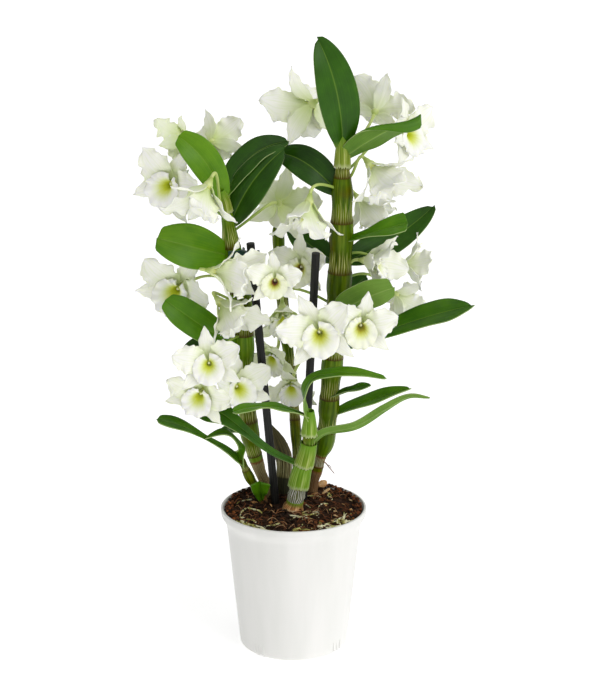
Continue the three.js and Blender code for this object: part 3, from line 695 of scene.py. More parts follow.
# Living cane skin is waxy: olive green with a gold cast, streaked lengthwise, browner with age.
# Straw-coloured threads of the old sheath run down to each joint. The lowest joints wear dry
# paper, which the layer called paper gives: brown at 0.2, tan at 0.6 and white at 1.
THREADS = 26
cane_wax, tree, shader = new_material("waxy_cane_skin")
uv = add_node(tree, "ShaderNodeUVMap", uv_map="UVMap")
round_cane = add_node(tree, "ShaderNodeSeparateXYZ", {"Vector": uv}).outputs["X"]
age = add_node(tree, "ShaderNodeAttribute", attribute_name="age").outputs["Fac"]
paper = add_node(tree, "ShaderNodeAttribute", attribute_name="paper").outputs["Fac"]
joint_at = add_node(tree, "ShaderNodeAttribute", attribute_name="joint").outputs["Fac"]
spot = add_node(tree, "ShaderNodeTexCoord").outputs["Object"]
part = add_node(tree, "ShaderNodeMath", {0: joint_at}, operation="FRACT")
lengthwise = add_node(tree, "ShaderNodeCombineXYZ", {"X": round_cane, "Y": joint_at})
streak = drawn_noise(tree, lengthwise, (22.0, 0.8, 1.0), 4.0)
strand = drawn_noise(tree, lengthwise, (15.0, 2.2, 1.0), 1.0)
patch = add_node(tree, "ShaderNodeTexNoise", {"Vector": spot, "Scale": 26.0, "Detail": 3.0})
young = add_node(tree, "ShaderNodeValToRGB", {"Fac": streak}, [
    (0.3, "#4B7808"), (0.52, "#6D991A"), (0.72, "#93B93E"),
])
old = add_node(tree, "ShaderNodeValToRGB", {"Fac": streak}, [
    (0.3, "#2A3600"), (0.52, "#455200"), (0.74, "#6A7000"),
])
# This darkens the skin towards the old colours with age, and on the front cane it also paints the shade under
# its sheaths.
ageing_and_shade = add_node(tree, "ShaderNodeMath", {0: patch, 1: 1.2, 2: age}, operation="MULTIPLY_ADD")
ageing_and_shade = add_node(tree, "ShaderNodeMapRange", {"Value": ageing_and_shade, "From Min": 0.75, "From Max": 1.5})
skin = add_node(tree, "ShaderNodeMix", {0: ageing_and_shade, 6: young, 7: old}, data_type="RGBA")
sun_side = add_node(tree, "ShaderNodeMapRange", {"Value": patch, "From Min": 0.52, "From Max": 0.75})
sun_side = add_node(tree, "ShaderNodeMath", {0: sun_side, 1: age}, operation="MULTIPLY", use_clamp=True)
skin = add_node(tree, "ShaderNodeMix", {0: sun_side, 6: skin, 7: linear("#766600")}, data_type="RGBA")

# The threads stand round a cane, each as long as the noise along it allows.
swerve = add_node(tree, "ShaderNodeMath", {0: strand, 1: 9.0}, operation="MULTIPLY")
turns = {0: round_cane, 1: THREADS * 2 * math.pi, 2: swerve}
thread = add_node(tree, "ShaderNodeMath", turns, operation="MULTIPLY_ADD")
thread = add_node(tree, "ShaderNodeMath", {0: thread}, operation="SINE")
thread = add_node(tree, "ShaderNodeMapRange", {"Value": thread, "From Min": 0.35, "From Max": 0.95})
reach = add_node(tree, "ShaderNodeMath", {0: streak, 1: -0.8, 2: part}, operation="MULTIPLY_ADD")
reach = add_node(tree, "ShaderNodeMapRange", {"Value": reach, "From Min": 0.06, "From Max": -0.16})
worn = add_node(tree, "ShaderNodeMath", {0: reach, 1: 0.3}, operation="MULTIPLY")
skin = add_node(tree, "ShaderNodeMix", {0: worn, 6: skin, 7: linear("#767C14")}, data_type="RGBA")
fibre = add_node(tree, "ShaderNodeMath", {0: thread, 1: reach}, operation="MULTIPLY")
skin = add_node(tree, "ShaderNodeMix", {0: fibre, 6: skin, 7: linear("#C9C982")}, data_type="RGBA")
near_joint = add_node(tree, "ShaderNodeValToRGB", {"Fac": part}, [
    (0.0, "#FFFFFF"), (0.02, "#F3F3F3"), (0.07, "#B3B3B3"), (0.16, "#000000"), (0.98, "#000000"),
    (1.0, "#BCBCBC"),
])
skin = add_node(tree, "ShaderNodeMix", {0: near_joint, 6: skin, 7: linear("#4A3A04")}, data_type="RGBA")
dry = add_node(tree, "ShaderNodeValToRGB", {"Fac": vary(tree, paper, streak, 0.4)}, [
    (0.0, "#3A2812"), (0.2, "#7E4E26"), (0.36, "#6A4A2C"), (0.55, "#8C7C50"), (0.8, "#74744A"),
    (1.0, "#6A6E4C"),
])
straw = add_node(tree, "ShaderNodeValToRGB", {"Fac": paper}, [
    (0.2, "#94683A"), (0.4, "#A38A66"), (0.6, "#C8B88E"), (0.8, "#DCD8C0"), (1.0, "#F4F2EA"),
])
dry = add_node(tree, "ShaderNodeMix", {0: thread, 6: dry, 7: straw}, data_type="RGBA")
papered = add_node(tree, "ShaderNodeMath", {0: paper, 1: 12.0}, operation="MULTIPLY", use_clamp=True)
skin = add_node(tree, "ShaderNodeMix", {0: papered, 6: skin, 7: dry}, data_type="RGBA")
ridges = add_node(tree, "ShaderNodeBump", {"Height": fibre, "Strength": 0.7, "Distance": 0.0007})
relief = {"Height": streak, "Strength": 0.15, "Distance": 0.0006, "Normal": ridges}
relief = add_node(tree, "ShaderNodeBump", relief)
dull = add_node(tree, "ShaderNodeMath", {0: fibre, 1: papered}, operation="MAXIMUM")
dull = add_node(tree, "ShaderNodeMapRange", {"Value": dull, "To Min": 0.27, "To Max": 0.65})
set_inputs(shader, {
    "Base Color": skin, "Roughness": dull, "Normal": relief, "Specular IOR Level": 0.11,
    "Subsurface Weight": 0.05, "Subsurface Radius": (0.002, 0.003, 0.001),
})

# A dead backbulb is dry and wrinkled: brown on top, papered at its joint, dark green-brown below.
dry_skin, tree, shader = new_material("dry_backbulb_skin")
uv = add_node(tree, "ShaderNodeUVMap", uv_map="UVMap")
joint_at = add_node(tree, "ShaderNodeAttribute", attribute_name="joint").outputs["Fac"]
streak = drawn_noise(tree, uv, (40.0, 2.5, 1.0), 6.0)
lower = add_node(tree, "ShaderNodeValToRGB", {"Fac": streak}, [
    (0.34, "#1C1C0A"), (0.55, "#333316"), (0.7, "#6A683A"),
])
papery = add_node(tree, "ShaderNodeValToRGB", {"Fac": streak}, [
    (0.42, "#4A4418"), (0.52, "#77713A"), (0.6, "#CFC89A"),
])
upper = add_node(tree, "ShaderNodeValToRGB", {"Fac": streak}, [
    (0.34, "#2E2A0E"), (0.55, "#4E461C"), (0.7, "#7A6A36"),
])
papered = add_node(tree, "ShaderNodeMapRange", {"Value": joint_at, "From Min": 0.95, "From Max": 1.0})
tone = add_node(tree, "ShaderNodeMix", {0: papered, 6: lower, 7: papery}, data_type="RGBA")
on_top = add_node(tree, "ShaderNodeMapRange", {"Value": joint_at, "From Min": 1.45, "From Max": 1.6})
tone = add_node(tree, "ShaderNodeMix", {0: on_top, 6: tone, 7: upper}, data_type="RGBA")
wrinkle = add_node(tree, "ShaderNodeBump", {"Height": streak, "Strength": 0.8, "Distance": 0.0012})
set_inputs(shader, {"Base Color": tone, "Roughness": 0.7, "Normal": wrinkle})

cane_lines = {name: smooth_line(cane["line"]) for name, cane in CANES.items()}
for name, cane in CANES.items():
    ends = [0.0] + [at_height(cane_lines[name], height) for height in cane["joints"]] + [1.0]
    joint_stops = [(end, float(k)) for k, end in enumerate(ends)]
    bm = new_sheet_bmesh("age", "joint", "paper")
    joint_layer, paper_layer = bm.verts.layers.float["joint"], bm.verts.layers.float["paper"]
    rings = CANE["rings"] * len(ends)
    stem = round_place(cane_lines[name], cane_radius(cane, joint_stops))
    made = add_sheet(bm, (CANE["sides"], rings), stem, {"age": cane["age"]})
    for k, vertex in enumerate(made):
        place = (k // (CANE["sides"] + 1)) / rings
        vertex[joint_layer] = between(joint_stops, place)
        vertex[paper_layer] = between(cane["paper"], cane_lines[name](place).z)
    weld(bm)
    skin, slot = (dry_skin, "old_cane") if name == "backbulb" else (cane_wax, "foliage")
    new_piece(name + "_stem", bm, [skin], slot, name)

# A thin dead root hangs from the lowest joint of the tall cane.
bm = new_sheet_bmesh("tone")
for points, thick in (
    ([(20, 30, 151), (26, 26, 149), (29.5, 25, 145), (34, 24.5, 139.5)], 0.6),
    ([(28, 25.5, 147), (30, 23, 147), (31.5, 22, 145)], 0.35),
):
    taper = round_place(smooth_line(points), lambda angle, v, r=thick: r * (1 - 0.5 * v))
    add_sheet(bm, (8, 14), taper, {"tone": 0.5})
weld(bm)
new_piece("dead_aerial_root", bm, [dry_rootlet], "foliage")

# Leaf sheaths wrap the canes as thin sleeves, one above the other, each torn and a little proud
# at its foot. At the top they close round the last leaf, and the oldest is a collar of paper.
# The teeth of a torn foot take up to the share torn of a sheath's length.
SHEATH = {"thick": 0.5, "torn": 0.055, "teeth": 21, "grid": (102, 18)}


def sleeve(dry, *points):
    """A sheath: how dry it is, from 0 to 1, and points of x, y, z and radius from its foot up."""
    return {"dry": dry, "points": points}


SHEATHS = [
    sleeve(1.0, (-0.4, -3.4, 117, 9.6), (0.2, -2.8, 120, 8.0), (0.9, -2.7, 123, 6.9), (1.3, -3, 126, 6.8)),
    sleeve(0.0, (3.8, -4.8, 138, 8.7), (5.2, -5.8, 146, 8.4), (7, -6.9, 154, 7.7), (9.7, -8.5, 164, 6.8)),
    sleeve(0.1, (8.2, -7.6, 158, 8.1), (10, -8.7, 165, 7.5), (11.6, -9.7, 172, 6.9), (12.6, -11, 179, 6.3)),
    sleeve(
        0.0, (12.9, -12, 186, 7.3), (13, -13.2, 193, 5.9), (13.1, -14.4, 200, 4.9), (13.2, -15.5, 208, 3.4),
    ),
    sleeve(0.2, (39, 12, 402, 6.8), (39, 11.8, 411, 6.1), (38.9, 11.2, 420, 4.7), (38.6, 10, 430, 0.8)),
    sleeve(0.2, (-53, 2, 368, 5.4), (-54.6, 0.4, 378, 4.3), (-57.4, -3, 387, 2.9)),
]


def sleeve_place(points):
    """A place function for a sleeve, with teeth where its foot is torn."""
    along = smooth_line(points)
    tube = round_place(lambda v: along(v).xyz, lambda angle, v: along(v).w)

    def place(u, v):
        angle = 2 * math.pi * u
        bite = noise.noise(Vector((2.5 * math.cos(angle), 2.5 * math.sin(angle), points[0][2])))
        teeth = 0.5 + 0.5 * math.sin(SHEATH["teeth"] * angle) + 1.6 * bite
        return tube(u, min(1.0, v + (1 - v) * SHEATH["torn"] * max(0.0, teeth)))

    return place


def give_thickness(piece, thick, inner=0):
    """Gives an open sheet its thickness, half to each side.

    inner is how many materials further on its back and edges are."""
    wall = piece.modifiers.new("thickness", "SOLIDIFY")
    wall.thickness = thick * MM
    wall.offset = 0
    wall.material_offset = inner
    wall.material_offset_rim = inner


# A sheath is dull and thin, pale green with a vein every millimetre, and bleached at its torn
# foot. A dry one is tan paper.
sheath_skin, tree, shader = new_material("leaf_sheath_skin")
uv = add_node(tree, "ShaderNodeUVMap", uv_map="UVMap")
up_sleeve = add_node(tree, "ShaderNodeSeparateXYZ", {"Vector": uv}).outputs["Y"]
dryness = add_node(tree, "ShaderNodeAttribute", attribute_name="dry").outputs["Fac"]
vein = drawn_noise(tree, uv, (40.0, 0.8, 1.0), 2.0)
green = add_node(tree, "ShaderNodeValToRGB", {"Fac": vein}, [
    (0.32, "#547A10"), (0.5, "#799C2A"), (0.68, "#A9BD6C"),
])
tan = add_node(tree, "ShaderNodeValToRGB", {"Fac": vein}, [
    (0.32, "#6E4826"), (0.5, "#A87444"), (0.68, "#D2AC80"),
])
tone = add_node(tree, "ShaderNodeMix", {0: dryness, 6: green, 7: tan}, data_type="RGBA")
upper = add_node(tree, "ShaderNodeMapRange", {"Value": up_sleeve, "From Min": 0.45, "From Max": 1.1})
tone = add_node(tree, "ShaderNodeMix", {0: upper, 6: tone, 7: linear("#5F8E1A")}, data_type="RGBA")
foot = add_node(tree, "ShaderNodeMapRange", {"Value": up_sleeve, "From Min": 0.14, "From Max": 0.0})
bleach = add_node(tree, "ShaderNodeMath", {0: foot, 1: 0.55}, operation="MULTIPLY")
tone = add_node(tree, "ShaderNodeMix", {0: bleach, 6: tone, 7: linear("#D2D4AC")}, data_type="RGBA")
relief = add_node(tree, "ShaderNodeBump", {"Height": vein, "Strength": 0.5, "Distance": 0.0005})
set_inputs(shader, {
    "Base Color": tone, "Roughness": 0.5, "Normal": relief, "Specular IOR Level": 0.12,
    "Subsurface Weight": 0.1, "Subsurface Radius": (0.001, 0.002, 0.0005),
})

bm = new_sheet_bmesh("dry")
for sheath in SHEATHS:
    add_sheet(bm, SHEATH["grid"], sleeve_place(sheath["points"]), {"dry": sheath["dry"]})
bmesh.ops.remove_doubles(bm, verts=bm.verts, dist=1e-6)
bmesh.ops.recalc_face_normals(bm, faces=bm.faces)
give_thickness(new_piece("leaf_sheaths", bm, [sheath_skin], "foliage"), SHEATH["thick"])

# ------------------------------------------------------------------ leaves
# Leathery strap leaves with a grooved midrib, blunt uneven tips and paler undersides. Each
# grew from a sheath that wraps its cane, so it is one body with the cane.


def leaf(width, rib, face, fold, tone, **more):
    """A leaf: its width, points along its midrib, the way its upper face looks, how far it folds
    along the rib in degrees, and its tone, from 0 for dark to 1 for light. A low tone also paints
    the shade on a leaf that lies in shadow, and a high one paints a sheen.

    A few have their own outline, in shares of the width at even steps from base to tip, or a
    margin that curls over: the side it is on, and where along and across the blade it starts."""
    return {"width": width, "rib": rib, "face": face, "fold": fold, "tone": tone, **more}


LEAVES = {
    "cane_tall": [
        leaf(33, [(39, 12, 416), (34, 2, 464), (19, 8, 505)], (0.25, -1, 0.1), 12, 0.3),
        leaf(
            29, [(40, 12, 410), (65, 2, 429), (100, 4, 446)], (-0.1, 0.75, 0.6), 14, 0.55,
            curl=(1, 0.22, -0.15), outline=(0.35, 0.66, 0.88, 1.0, 1.0, 0.85),
        ),
        leaf(27, [(37, 14, 379), (12, 18, 403), (-13, 33, 410)], (-0.2, -0.8, 0.5), 10, 0.1),
        leaf(
            20, [(39, 15, 341), (66, -5, 354), (90, -14, 363)], (0, -0.6, 0.8), 16, 0.6,
            outline=(0.22, 0.4, 0.6, 0.8, 1.0, 0.95),
        ),
        leaf(27, [(38, 18, 323), (79, 34, 338), (114, 46, 363)], (-0.2, -0.9, 0.5), 10, 0.2),
        leaf(
            27, [(36, 14, 281), (54, -6, 298), (80, -9, 309)], (0, 0.95, 0.3), 10, 0.75,
            outline=(0.35, 0.8, 1.0, 1.0, 0.9, 0.62),
        ),
        leaf(
            26, [(34, 20, 247), (91, 22, 270), (145, 10, 289)], (-0.3, -0.5, 0.8), 12, 0.4,
            outline=(0.3, 0.5, 0.66, 0.82, 0.98, 0.95, 0.2),
        ),
        # Its light tone paints the grey sheen on its upper half.
        leaf(17, [(30, 25, 190), (65, 24, 204), (96, 18, 216)], (-0.2, -0.3, 0.9), 22, 0.6),
        leaf(12, [(30, 22, 207), (46, 6, 218), (63, 2, 224)], (0, -0.3, 0.9), 20, 0.3),
        leaf(24, [(36, 18, 323), (13, 37, 333), (-5, 48, 348)], (0.3, -0.8, 0.5), 10, 0.2),
        leaf(20, [(36, 18, 291), (48, 35, 297), (60, 46, 304)], (0, -0.7, 0.7), 10, 0.3),
    ],
    "cane_left": [
        leaf(
            26, [(-54, 1, 376), (-68, -8, 409), (-90, -4, 430)], (0.3, -1, 0.35), 8, 0.8,
            outline=(0.3, 0.72, 0.96, 1.0, 0.88, 0.5),
        ),
        leaf(
            35, [(-49, 5, 331), (-80, -16, 344), (-107, -20, 352)], (0.2, -1, 0.35), 8, 0.75,
            outline=(0.3, 0.74, 0.98, 1.0, 0.82, 0.5),
        ),
        leaf(
            26, [(-41, 11, 250), (-76, -9, 279), (-102, -10, 299)], (0.3, -1, 0.4), 8, 0.65,
            outline=(0.3, 0.72, 0.96, 1.0, 0.9, 0.5),
        ),
        # Its dark tone paints the shade it lies in, under the flowers.
        leaf(22, [(-41, 13, 234), (-68, 8, 254), (-90, 0, 251)], (-0.1, -0.5, 0.9), 10, 0.2),
        leaf(24, [(-54, 1, 380), (-34, 13, 410), (-4, 22, 421)], (-0.35, -0.75, 0.6), 20, 0.15),
        leaf(31, [(-51, 4, 355), (-33, 3, 391), (-7, 13, 417)], (-0.5, -1, 0.1), 8, 0.1),
        leaf(13, [(-36, 20, 174), (-47, 32, 176), (-61, 40, 173)], (0, -0.3, 0.9), 14, 0.4),
    ],
    "cane_front": [
        leaf(
            14, [(13, -14, 201), (-18, -30, 216), (-48, -42, 215)], (-0.1, -0.2, 1), 8, 0.65,
            outline=(0.6, 0.8, 1.0, 0.85, 0.9, 1.0, 0.75),
        ),
        leaf(
            14,
            [(13, -14, 201), (9, -21, 222), (15, -25, 238), (33, -30, 244), (54, -34, 245), (74, -37, 242)],
            (-0.3, -0.3, 0.9), 12, 0.65, outline=(0.8, 1.0, 0.9, 0.8, 1.0, 0.9, 0.5, 0.3),
        ),
        leaf(
            9.5,
            [(13, -10, 177), (25, -16, 189), (50, -22, 197), (73, -28, 213), (92, -32, 225), (109, -36, 225)],
            (-0.25, 0.85, 0.35), 16, 0.7, outline=(0.8, 0.85, 1.0, 0.9, 0.75, 0.5, 0.15),
        ),
        leaf(
            25, [(7, -7, 158), (-18, -12, 172), (-39, -12, 189), (-60, -8, 204), (-84, -2, 210)],
            (0.3, -0.8, 0.5), 8, 0.35, outline=(0.2, 0.22, 0.26, 0.35, 0.64, 0.98, 0.6),
        ),
    ],
    "shoot_left": [
        leaf(
            14, [(-42, 3, 156), (-55, -4, 170), (-72, -12, 184), (-89, -20, 196), (-110, -26, 204)],
            (0.2, -0.5, 0.9), 12, 0.45, outline=(0.42, 0.66, 0.62, 0.4, 0.3, 0.56, 0.9, 1.0, 0.6),
        ),
        leaf(
            12, [(-42, 2, 154), (-50, -7, 183), (-71, -14, 184)], (-0.2, -0.3, 0.9), 12, 0.6,
            outline=(0.6, 0.75, 1.0, 1.0, 0.7, 0.2),
        ),
        leaf(
            15, [(-27, 9, 121), (-28, 4, 130), (-28, 1, 141)], (0.2, -1, 0.2), 34, 0.55,
            outline=(0.14, 0.34, 0.56, 0.78, 1.0, 1.1),
        ),
    ],
}
# The neck and tip are shares of a blade's width, and its widest place, notch and curl's end are
# shares of its length.
LEAF = {
    "thick": 0.9, "grid": (20, 48), "neck": 0.24, "tip": 0.3, "widest": 0.46, "blunt": 0.5,
    "notch": 0.012, "notch_width": 0.3, "wave": 0.9, "groove": 0.55, "groove_width": 1.1,
    "curl_radius": 1.8, "curl_turn": 165, "curl_end": 0.98,
}


def rounded_end(t, length=0.045):
    """A share that stays 1, and rounds off to 0 over the last length of a blade."""
    return math.sqrt(max(0.0, 1 - max(0.0, (t - (1 - length)) / length) ** 2))


def outline(t, widest, neck, tip, blunt):
    """Half-width of a blade at t as a share of its greatest, with a rounded end."""
    warped = min(max(t, 0.0), 1.0) ** (math.log(0.5) / math.log(widest))
    swelling = max(0.0, math.sin(math.pi * min(warped, 1.0)))
    half = max(swelling ** 0.65, neck) if t < widest else max(swelling ** blunt, tip)
    return half * rounded_end(t)


def midrib_line(points):
    """A midrib of three points is one even arc. A longer one passes through all of its points."""
    if len(points) > 3:
        return smooth_line(points)
    start, middle, tip = [Vector(point) for point in points]
    control = 2 * middle - (start + tip) / 2
    return lambda t: start * (1 - t) ** 2 + control * 2 * t * (1 - t) + tip * t * t


def leaf_place(blade, chance, step=1e-3):
    """A place function for a leaf blade, with a slight wave to its margins."""
    rib = midrib_line(blade["rib"])
    slope = math.tan(math.radians(blade["fold"]))
    shares = smooth_line([(share, 0, 0) for share in blade.get("outline", (1.0, 1.0))])
    waves = chance.uniform(1.2, 2.2)
    phases = chance.uniform(0, 6.28), chance.uniform(0, 6.28)
    longer = chance.uniform(-0.02, 0.02)

    def place(u, v):
        across = 2 * u - 1
        notch = LEAF["notch"] * math.exp(-(across / LEAF["notch_width"]) ** 2) * v
        t = v * (1 + longer * across - notch)
        tangent = (rib(min(1.0, t + step)) - rib(max(0.0, t - step))).normalized()
        up = Vector(blade["face"])
        up = (up - tangent * up.dot(tangent)).normalized()
        side = tangent.cross(up)
        if "outline" in blade:
            share = shares(v).x * rounded_end(v)
        else:
            share = outline(v, LEAF["widest"], LEAF["neck"], LEAF["tip"], LEAF["blunt"])
        half = 0.5 * blade["width"] * share
        reach = half * across
        wave = math.sin(2 * math.pi * waves * v + phases[across > 0]) * math.sin(math.pi * v)
        rise = abs(reach) * slope * (1.12 - 0.35 * across ** 2) + LEAF["wave"] * across ** 2 * wave
        groove = -LEAF["groove"] * math.exp(-(reach / LEAF["groove_width"]) ** 2) * (1 - 0.6 * v)
        if "curl" in blade:
            way, first, inmost = blade["curl"]
            crease = half * (1 + (inmost - 1) * smooth_step((v - first) / (LEAF["curl_end"] - first)))
            beyond = max(0.0, way * reach - crease)
            turned_by = min(beyond / LEAF["curl_radius"], math.radians(LEAF["curl_turn"]))
            straight = beyond - turned_by * LEAF["curl_radius"]
            if beyond > 0:
                out = LEAF["curl_radius"] * math.sin(turned_by) + straight * math.cos(turned_by)
                reach = way * (crease + out)
                rise -= LEAF["curl_radius"] * (1 - math.cos(turned_by)) + straight * math.sin(turned_by)
        return rib(t) + side * reach + up * (rise + groove)

    return place


def leaf_material(name, shades, rib, gloss):
    """A leaf skin whose tone follows its leaf, with parallel veins along it from base to tip.

    rib is the midrib's weight, colour and height, and gloss the roughness and specular level."""
    material, tree, shader = new_material(name)
    uv = add_node(tree, "ShaderNodeUVMap", uv_map="UVMap")
    split = add_node(tree, "ShaderNodeSeparateXYZ", {"Vector": uv})
    tint = add_node(tree, "ShaderNodeAttribute", attribute_name="tone").outputs["Fac"]
    spot = add_node(tree, "ShaderNodeTexCoord").outputs["Object"]
    cloud = add_node(tree, "ShaderNodeTexNoise", {"Vector": spot, "Scale": 55.0, "Detail": 4.0})
    vein = drawn_noise(tree, uv, (34.0, 1.4, 1.0), 2.0)
    shade = vary(tree, vary(tree, tint, cloud, 0.55), vein, 0.32)
    stops = [(k / (len(shades) - 1), colour) for k, colour in enumerate(shades)]
    tone = add_node(tree, "ShaderNodeValToRGB", {"Fac": shade}, stops)
    off_rib = add_node(tree, "ShaderNodeMath", {0: split.outputs["X"], 1: 0.5}, operation="SUBTRACT")
    off_rib = add_node(tree, "ShaderNodeMath", {0: off_rib}, operation="ABSOLUTE")
    near_rib = add_node(tree, "ShaderNodeMapRange", {"Value": off_rib, "From Min": 0.03, "From Max": 0.0})
    at_edge = add_node(tree, "ShaderNodeMapRange", {"Value": off_rib, "From Min": 0.485, "From Max": 0.5})
    at_foot = {"Value": split.outputs["Y"], "From Min": 0.09, "From Max": 0.0}
    at_foot = add_node(tree, "ShaderNodeMapRange", at_foot)
    for there, weight, colour in (
        (near_rib, rib["weight"], rib["colour"]), (at_edge, 0.5, "#B9C98A"), (at_foot, 0.6, "#93AF45"),
    ):
        paler = add_node(tree, "ShaderNodeMath", {0: there, 1: weight}, operation="MULTIPLY")
        tone = add_node(tree, "ShaderNodeMix", {0: paler, 6: tone, 7: linear(colour)}, data_type="RGBA")
    height = {0: near_rib, 1: rib["height"], 2: vein}
    height = add_node(tree, "ShaderNodeMath", height, operation="MULTIPLY_ADD")
    relief = add_node(tree, "ShaderNodeBump", {"Height": height, "Strength": 0.4, "Distance": 0.0005})
    set_inputs(shader, {
        "Base Color": tone, "Roughness": gloss[0], "Specular IOR Level": gloss[1], "Normal": relief,
        "Subsurface Weight": 0.08, "Subsurface Radius": (0.001, 0.002, 0.0005),
    })
    return material


# The upper skin is waxy and holds a soft shine. The underside is duller and paler.
leaf_top = leaf_material(
    "waxy_leaf_upper_skin", ["#1A3A02", "#2F5C02", "#4E7F06", "#709C12"],
    rib={"weight": 0.4, "colour": "#86A83E", "height": -1.5}, gloss=(0.34, 0.22),
)
leaf_under = leaf_material(
    "leaf_underside_skin", ["#35581A", "#4E7426", "#678C34", "#80A246"],
    rib={"weight": 0.55, "colour": "#9DB65E", "height": 1.5}, gloss=(0.5, 0.15),
)

chance = random.Random(5)
for name, blades in LEAVES.items():
    bm = new_sheet_bmesh("tone")
    for blade in blades:
        add_sheet(bm, LEAF["grid"], leaf_place(blade, chance), {"tone": blade["tone"]})
    leaves = new_piece(name + "_leaves", bm, [leaf_top, leaf_under], "foliage", name)
    give_thickness(leaves, LEAF["thick"], inner=1)

# ------------------------------------------------------------------ flowers
# Each flower has three pointed sepals, two broad ruffled petals and a lip rolled round the
# column into a frilled trumpet. The stalks bend out from the joints of the canes.

# A petal leans from the flower's axis by its opening at the root and by its recurve at the tip. It
# starts at its seat ahead of the flower's middle, and its turns are the ways that it points.
FLOWER = {"thick": 0.55, "back": 9.0, "throat": 2.2, "sepals_ahead": 0.4, "channel": 0.7}
SEPAL = {
    "length": 35, "width": 15, "opening": 38, "recurve": 98, "cup": 0.0, "seat": -2.4,
    "ruffle": 1.1, "waves": 2.2, "sway": 0.16, "turns": (90, 220, 320), "grid": (12, 20),
    "shape": {"widest": 0.46, "neck": 0.28, "tip": 0.03, "blunt": 0.92},
}
PETAL = {
    "length": 36, "width": 26, "opening": 32, "recurve": 92, "cup": 0.12, "seat": 0.6,
    "ruffle": 2.5, "waves": 3.1, "sway": 0.1, "turns": (158, 22), "grid": (20, 28),
    "shape": {"widest": 0.54, "neck": 0.16, "tip": 0.1, "blunt": 0.74},
}
LIP = {
    "length": 24.0, "seat": 2.0, "opening": 2, "recurve": 92, "shut": 0.1, "wrap": 166, "chin": 0.24,
    "nod": 10, "frill": 3.2, "waves": 11, "grid": (80, 20),
}
# The column with the cup behind it: places along the flower's axis, and radii.
COLUMN = [(-9.0, 1.3), (-6.0, 2.2), (-2.5, 3.6), (0.5, 3.0), (2.2, 1.4), (4.0, 1.1), (5.0, 1.3), (5.8, 0.6)]
STALK = {"radius": 1.15, "flare": 0.35, "grid": (12, 28), "rise": 0.45, "sunk": 0.6}


def bloom(at, face, roll, size, opened, cane, height):
    """A flower: the middle that its petals spread from, the way it faces and its roll in degrees,
    its size, how far it has opened, from a bell to 1 for a flat star, and where its stalk leaves."""
    return {"at": at, "face": face, "roll": roll, "size": size, "open": opened, "on": (cane, height)}


FLOWERS = {
    "bloom_01": bloom((-95, 17, 388), (-0.5, -0.85, 0.14), -28, 1.04, 1, "cane_left", 362),
    "bloom_02": bloom((-67, -28, 394), (-0.36, -0.54, -0.76), 10, 1.08, 0.65, "cane_left", 360),
    "bloom_03": bloom((-84, 24, 423), (-0.88, 0.42, -0.23), 35, 0.8, 0.8, "cane_left", 378),
    "bloom_04": bloom((-65, 34, 419), (0.46, 0.89, -0.05), -30, 0.8, 1, "cane_left", 378),
    "bloom_05": bloom((-12, 34, 368), (0.3, 0.92, -0.27), 10, 0.98, 1, "cane_left", 350),
    "bloom_06": bloom((12, -6, 376), (-0.16, -0.42, -0.89), 8, 1.06, 0.65, "cane_tall", 383),
    "bloom_07": bloom((14, 43, 447), (-0.54, 0.67, -0.5), 0, 1.1, 1, "cane_tall", 412),
    "bloom_08": bloom((66, 45, 442), (0.21, 0.92, 0.34), 25, 0.92, 1, "cane_tall", 412),
    "bloom_09": bloom((88, 50, 422), (0.72, -0.67, 0.19), 10, 0.92, 1, "cane_tall", 396),
    "bloom_10": bloom((63, 12, 402), (0.62, -0.45, -0.64), -10, 1.18, 0.72, "cane_tall", 388),
    "bloom_11": bloom((54, 46, 368), (0.62, -0.12, -0.77), 10, 0.92, 0.6, "cane_tall", 370),
    "bloom_12": bloom((59, 7, 327), (0.85, -0.53, 0.03), -45, 0.92, 0.5, "cane_tall", 317),
    "bloom_13": bloom((91, 26, 319), (0.99, 0.11, -0.03), 0, 0.8, 0.9, "cane_tall", 328),
    "bloom_14": bloom((86, 54, 286), (0.57, 0.53, -0.63), 30, 0.7, 0.9, "cane_tall", 306),
    "bloom_15": bloom((21, -34, 280), (-0.12, -0.98, 0.18), 20, 1, 1, "cane_tall", 276),
    "bloom_16": bloom((53, -16, 281), (0.15, -0.99, -0.03), -12, 0.9, 1, "cane_tall", 270),
    "bloom_17": bloom((-14, -28, 320), (-0.1, -0.97, 0.23), 0, 0.7, 1, "cane_middle", 303),
    "bloom_18": bloom((8, 23, 318), (-0.4, -0.89, 0.21), 3, 0.84, 1, "cane_tall", 322),
    "bloom_19": bloom((-9, 40, 277), (0.06, -0.68, -0.73), 10, 0.98, 0.8, "cane_tall", 285),
    "bloom_20": bloom((-60, -29, 327), (0.91, -0.4, -0.05), 10, 1.12, 0.52, "cane_left", 312),
    "bloom_21": bloom((-57, -12, 296), (0.61, -0.52, -0.59), 0, 1.08, 0.52, "cane_left", 290),
    "bloom_22": bloom((-92, 31, 299), (-0.41, -0.91, -0.05), -30, 1.1, 1, "cane_left", 305),
    "bloom_23": bloom((-66, -41, 256), (-0.1, -0.97, 0.23), 10, 0.88, 1, "cane_left", 262),
    "bloom_24": bloom((-48, -4, 225), (0.46, -0.85, 0.25), 5, 0.92, 0.9, "cane_left", 258),
    "bloom_25": bloom((-1, 36, 216), (-0.12, -0.87, -0.48), 0, 0.8, 0.8, "cane_tall", 240),
    "bloom_26": bloom((-16, 47, 238), (-0.36, -0.86, -0.37), 20, 0.8, 0.8, "cane_middle", 262),
    "bloom_27": bloom((-73, -21, 226), (-0.26, -0.95, -0.15), -20, 0.88, 1, "cane_left", 236),
}
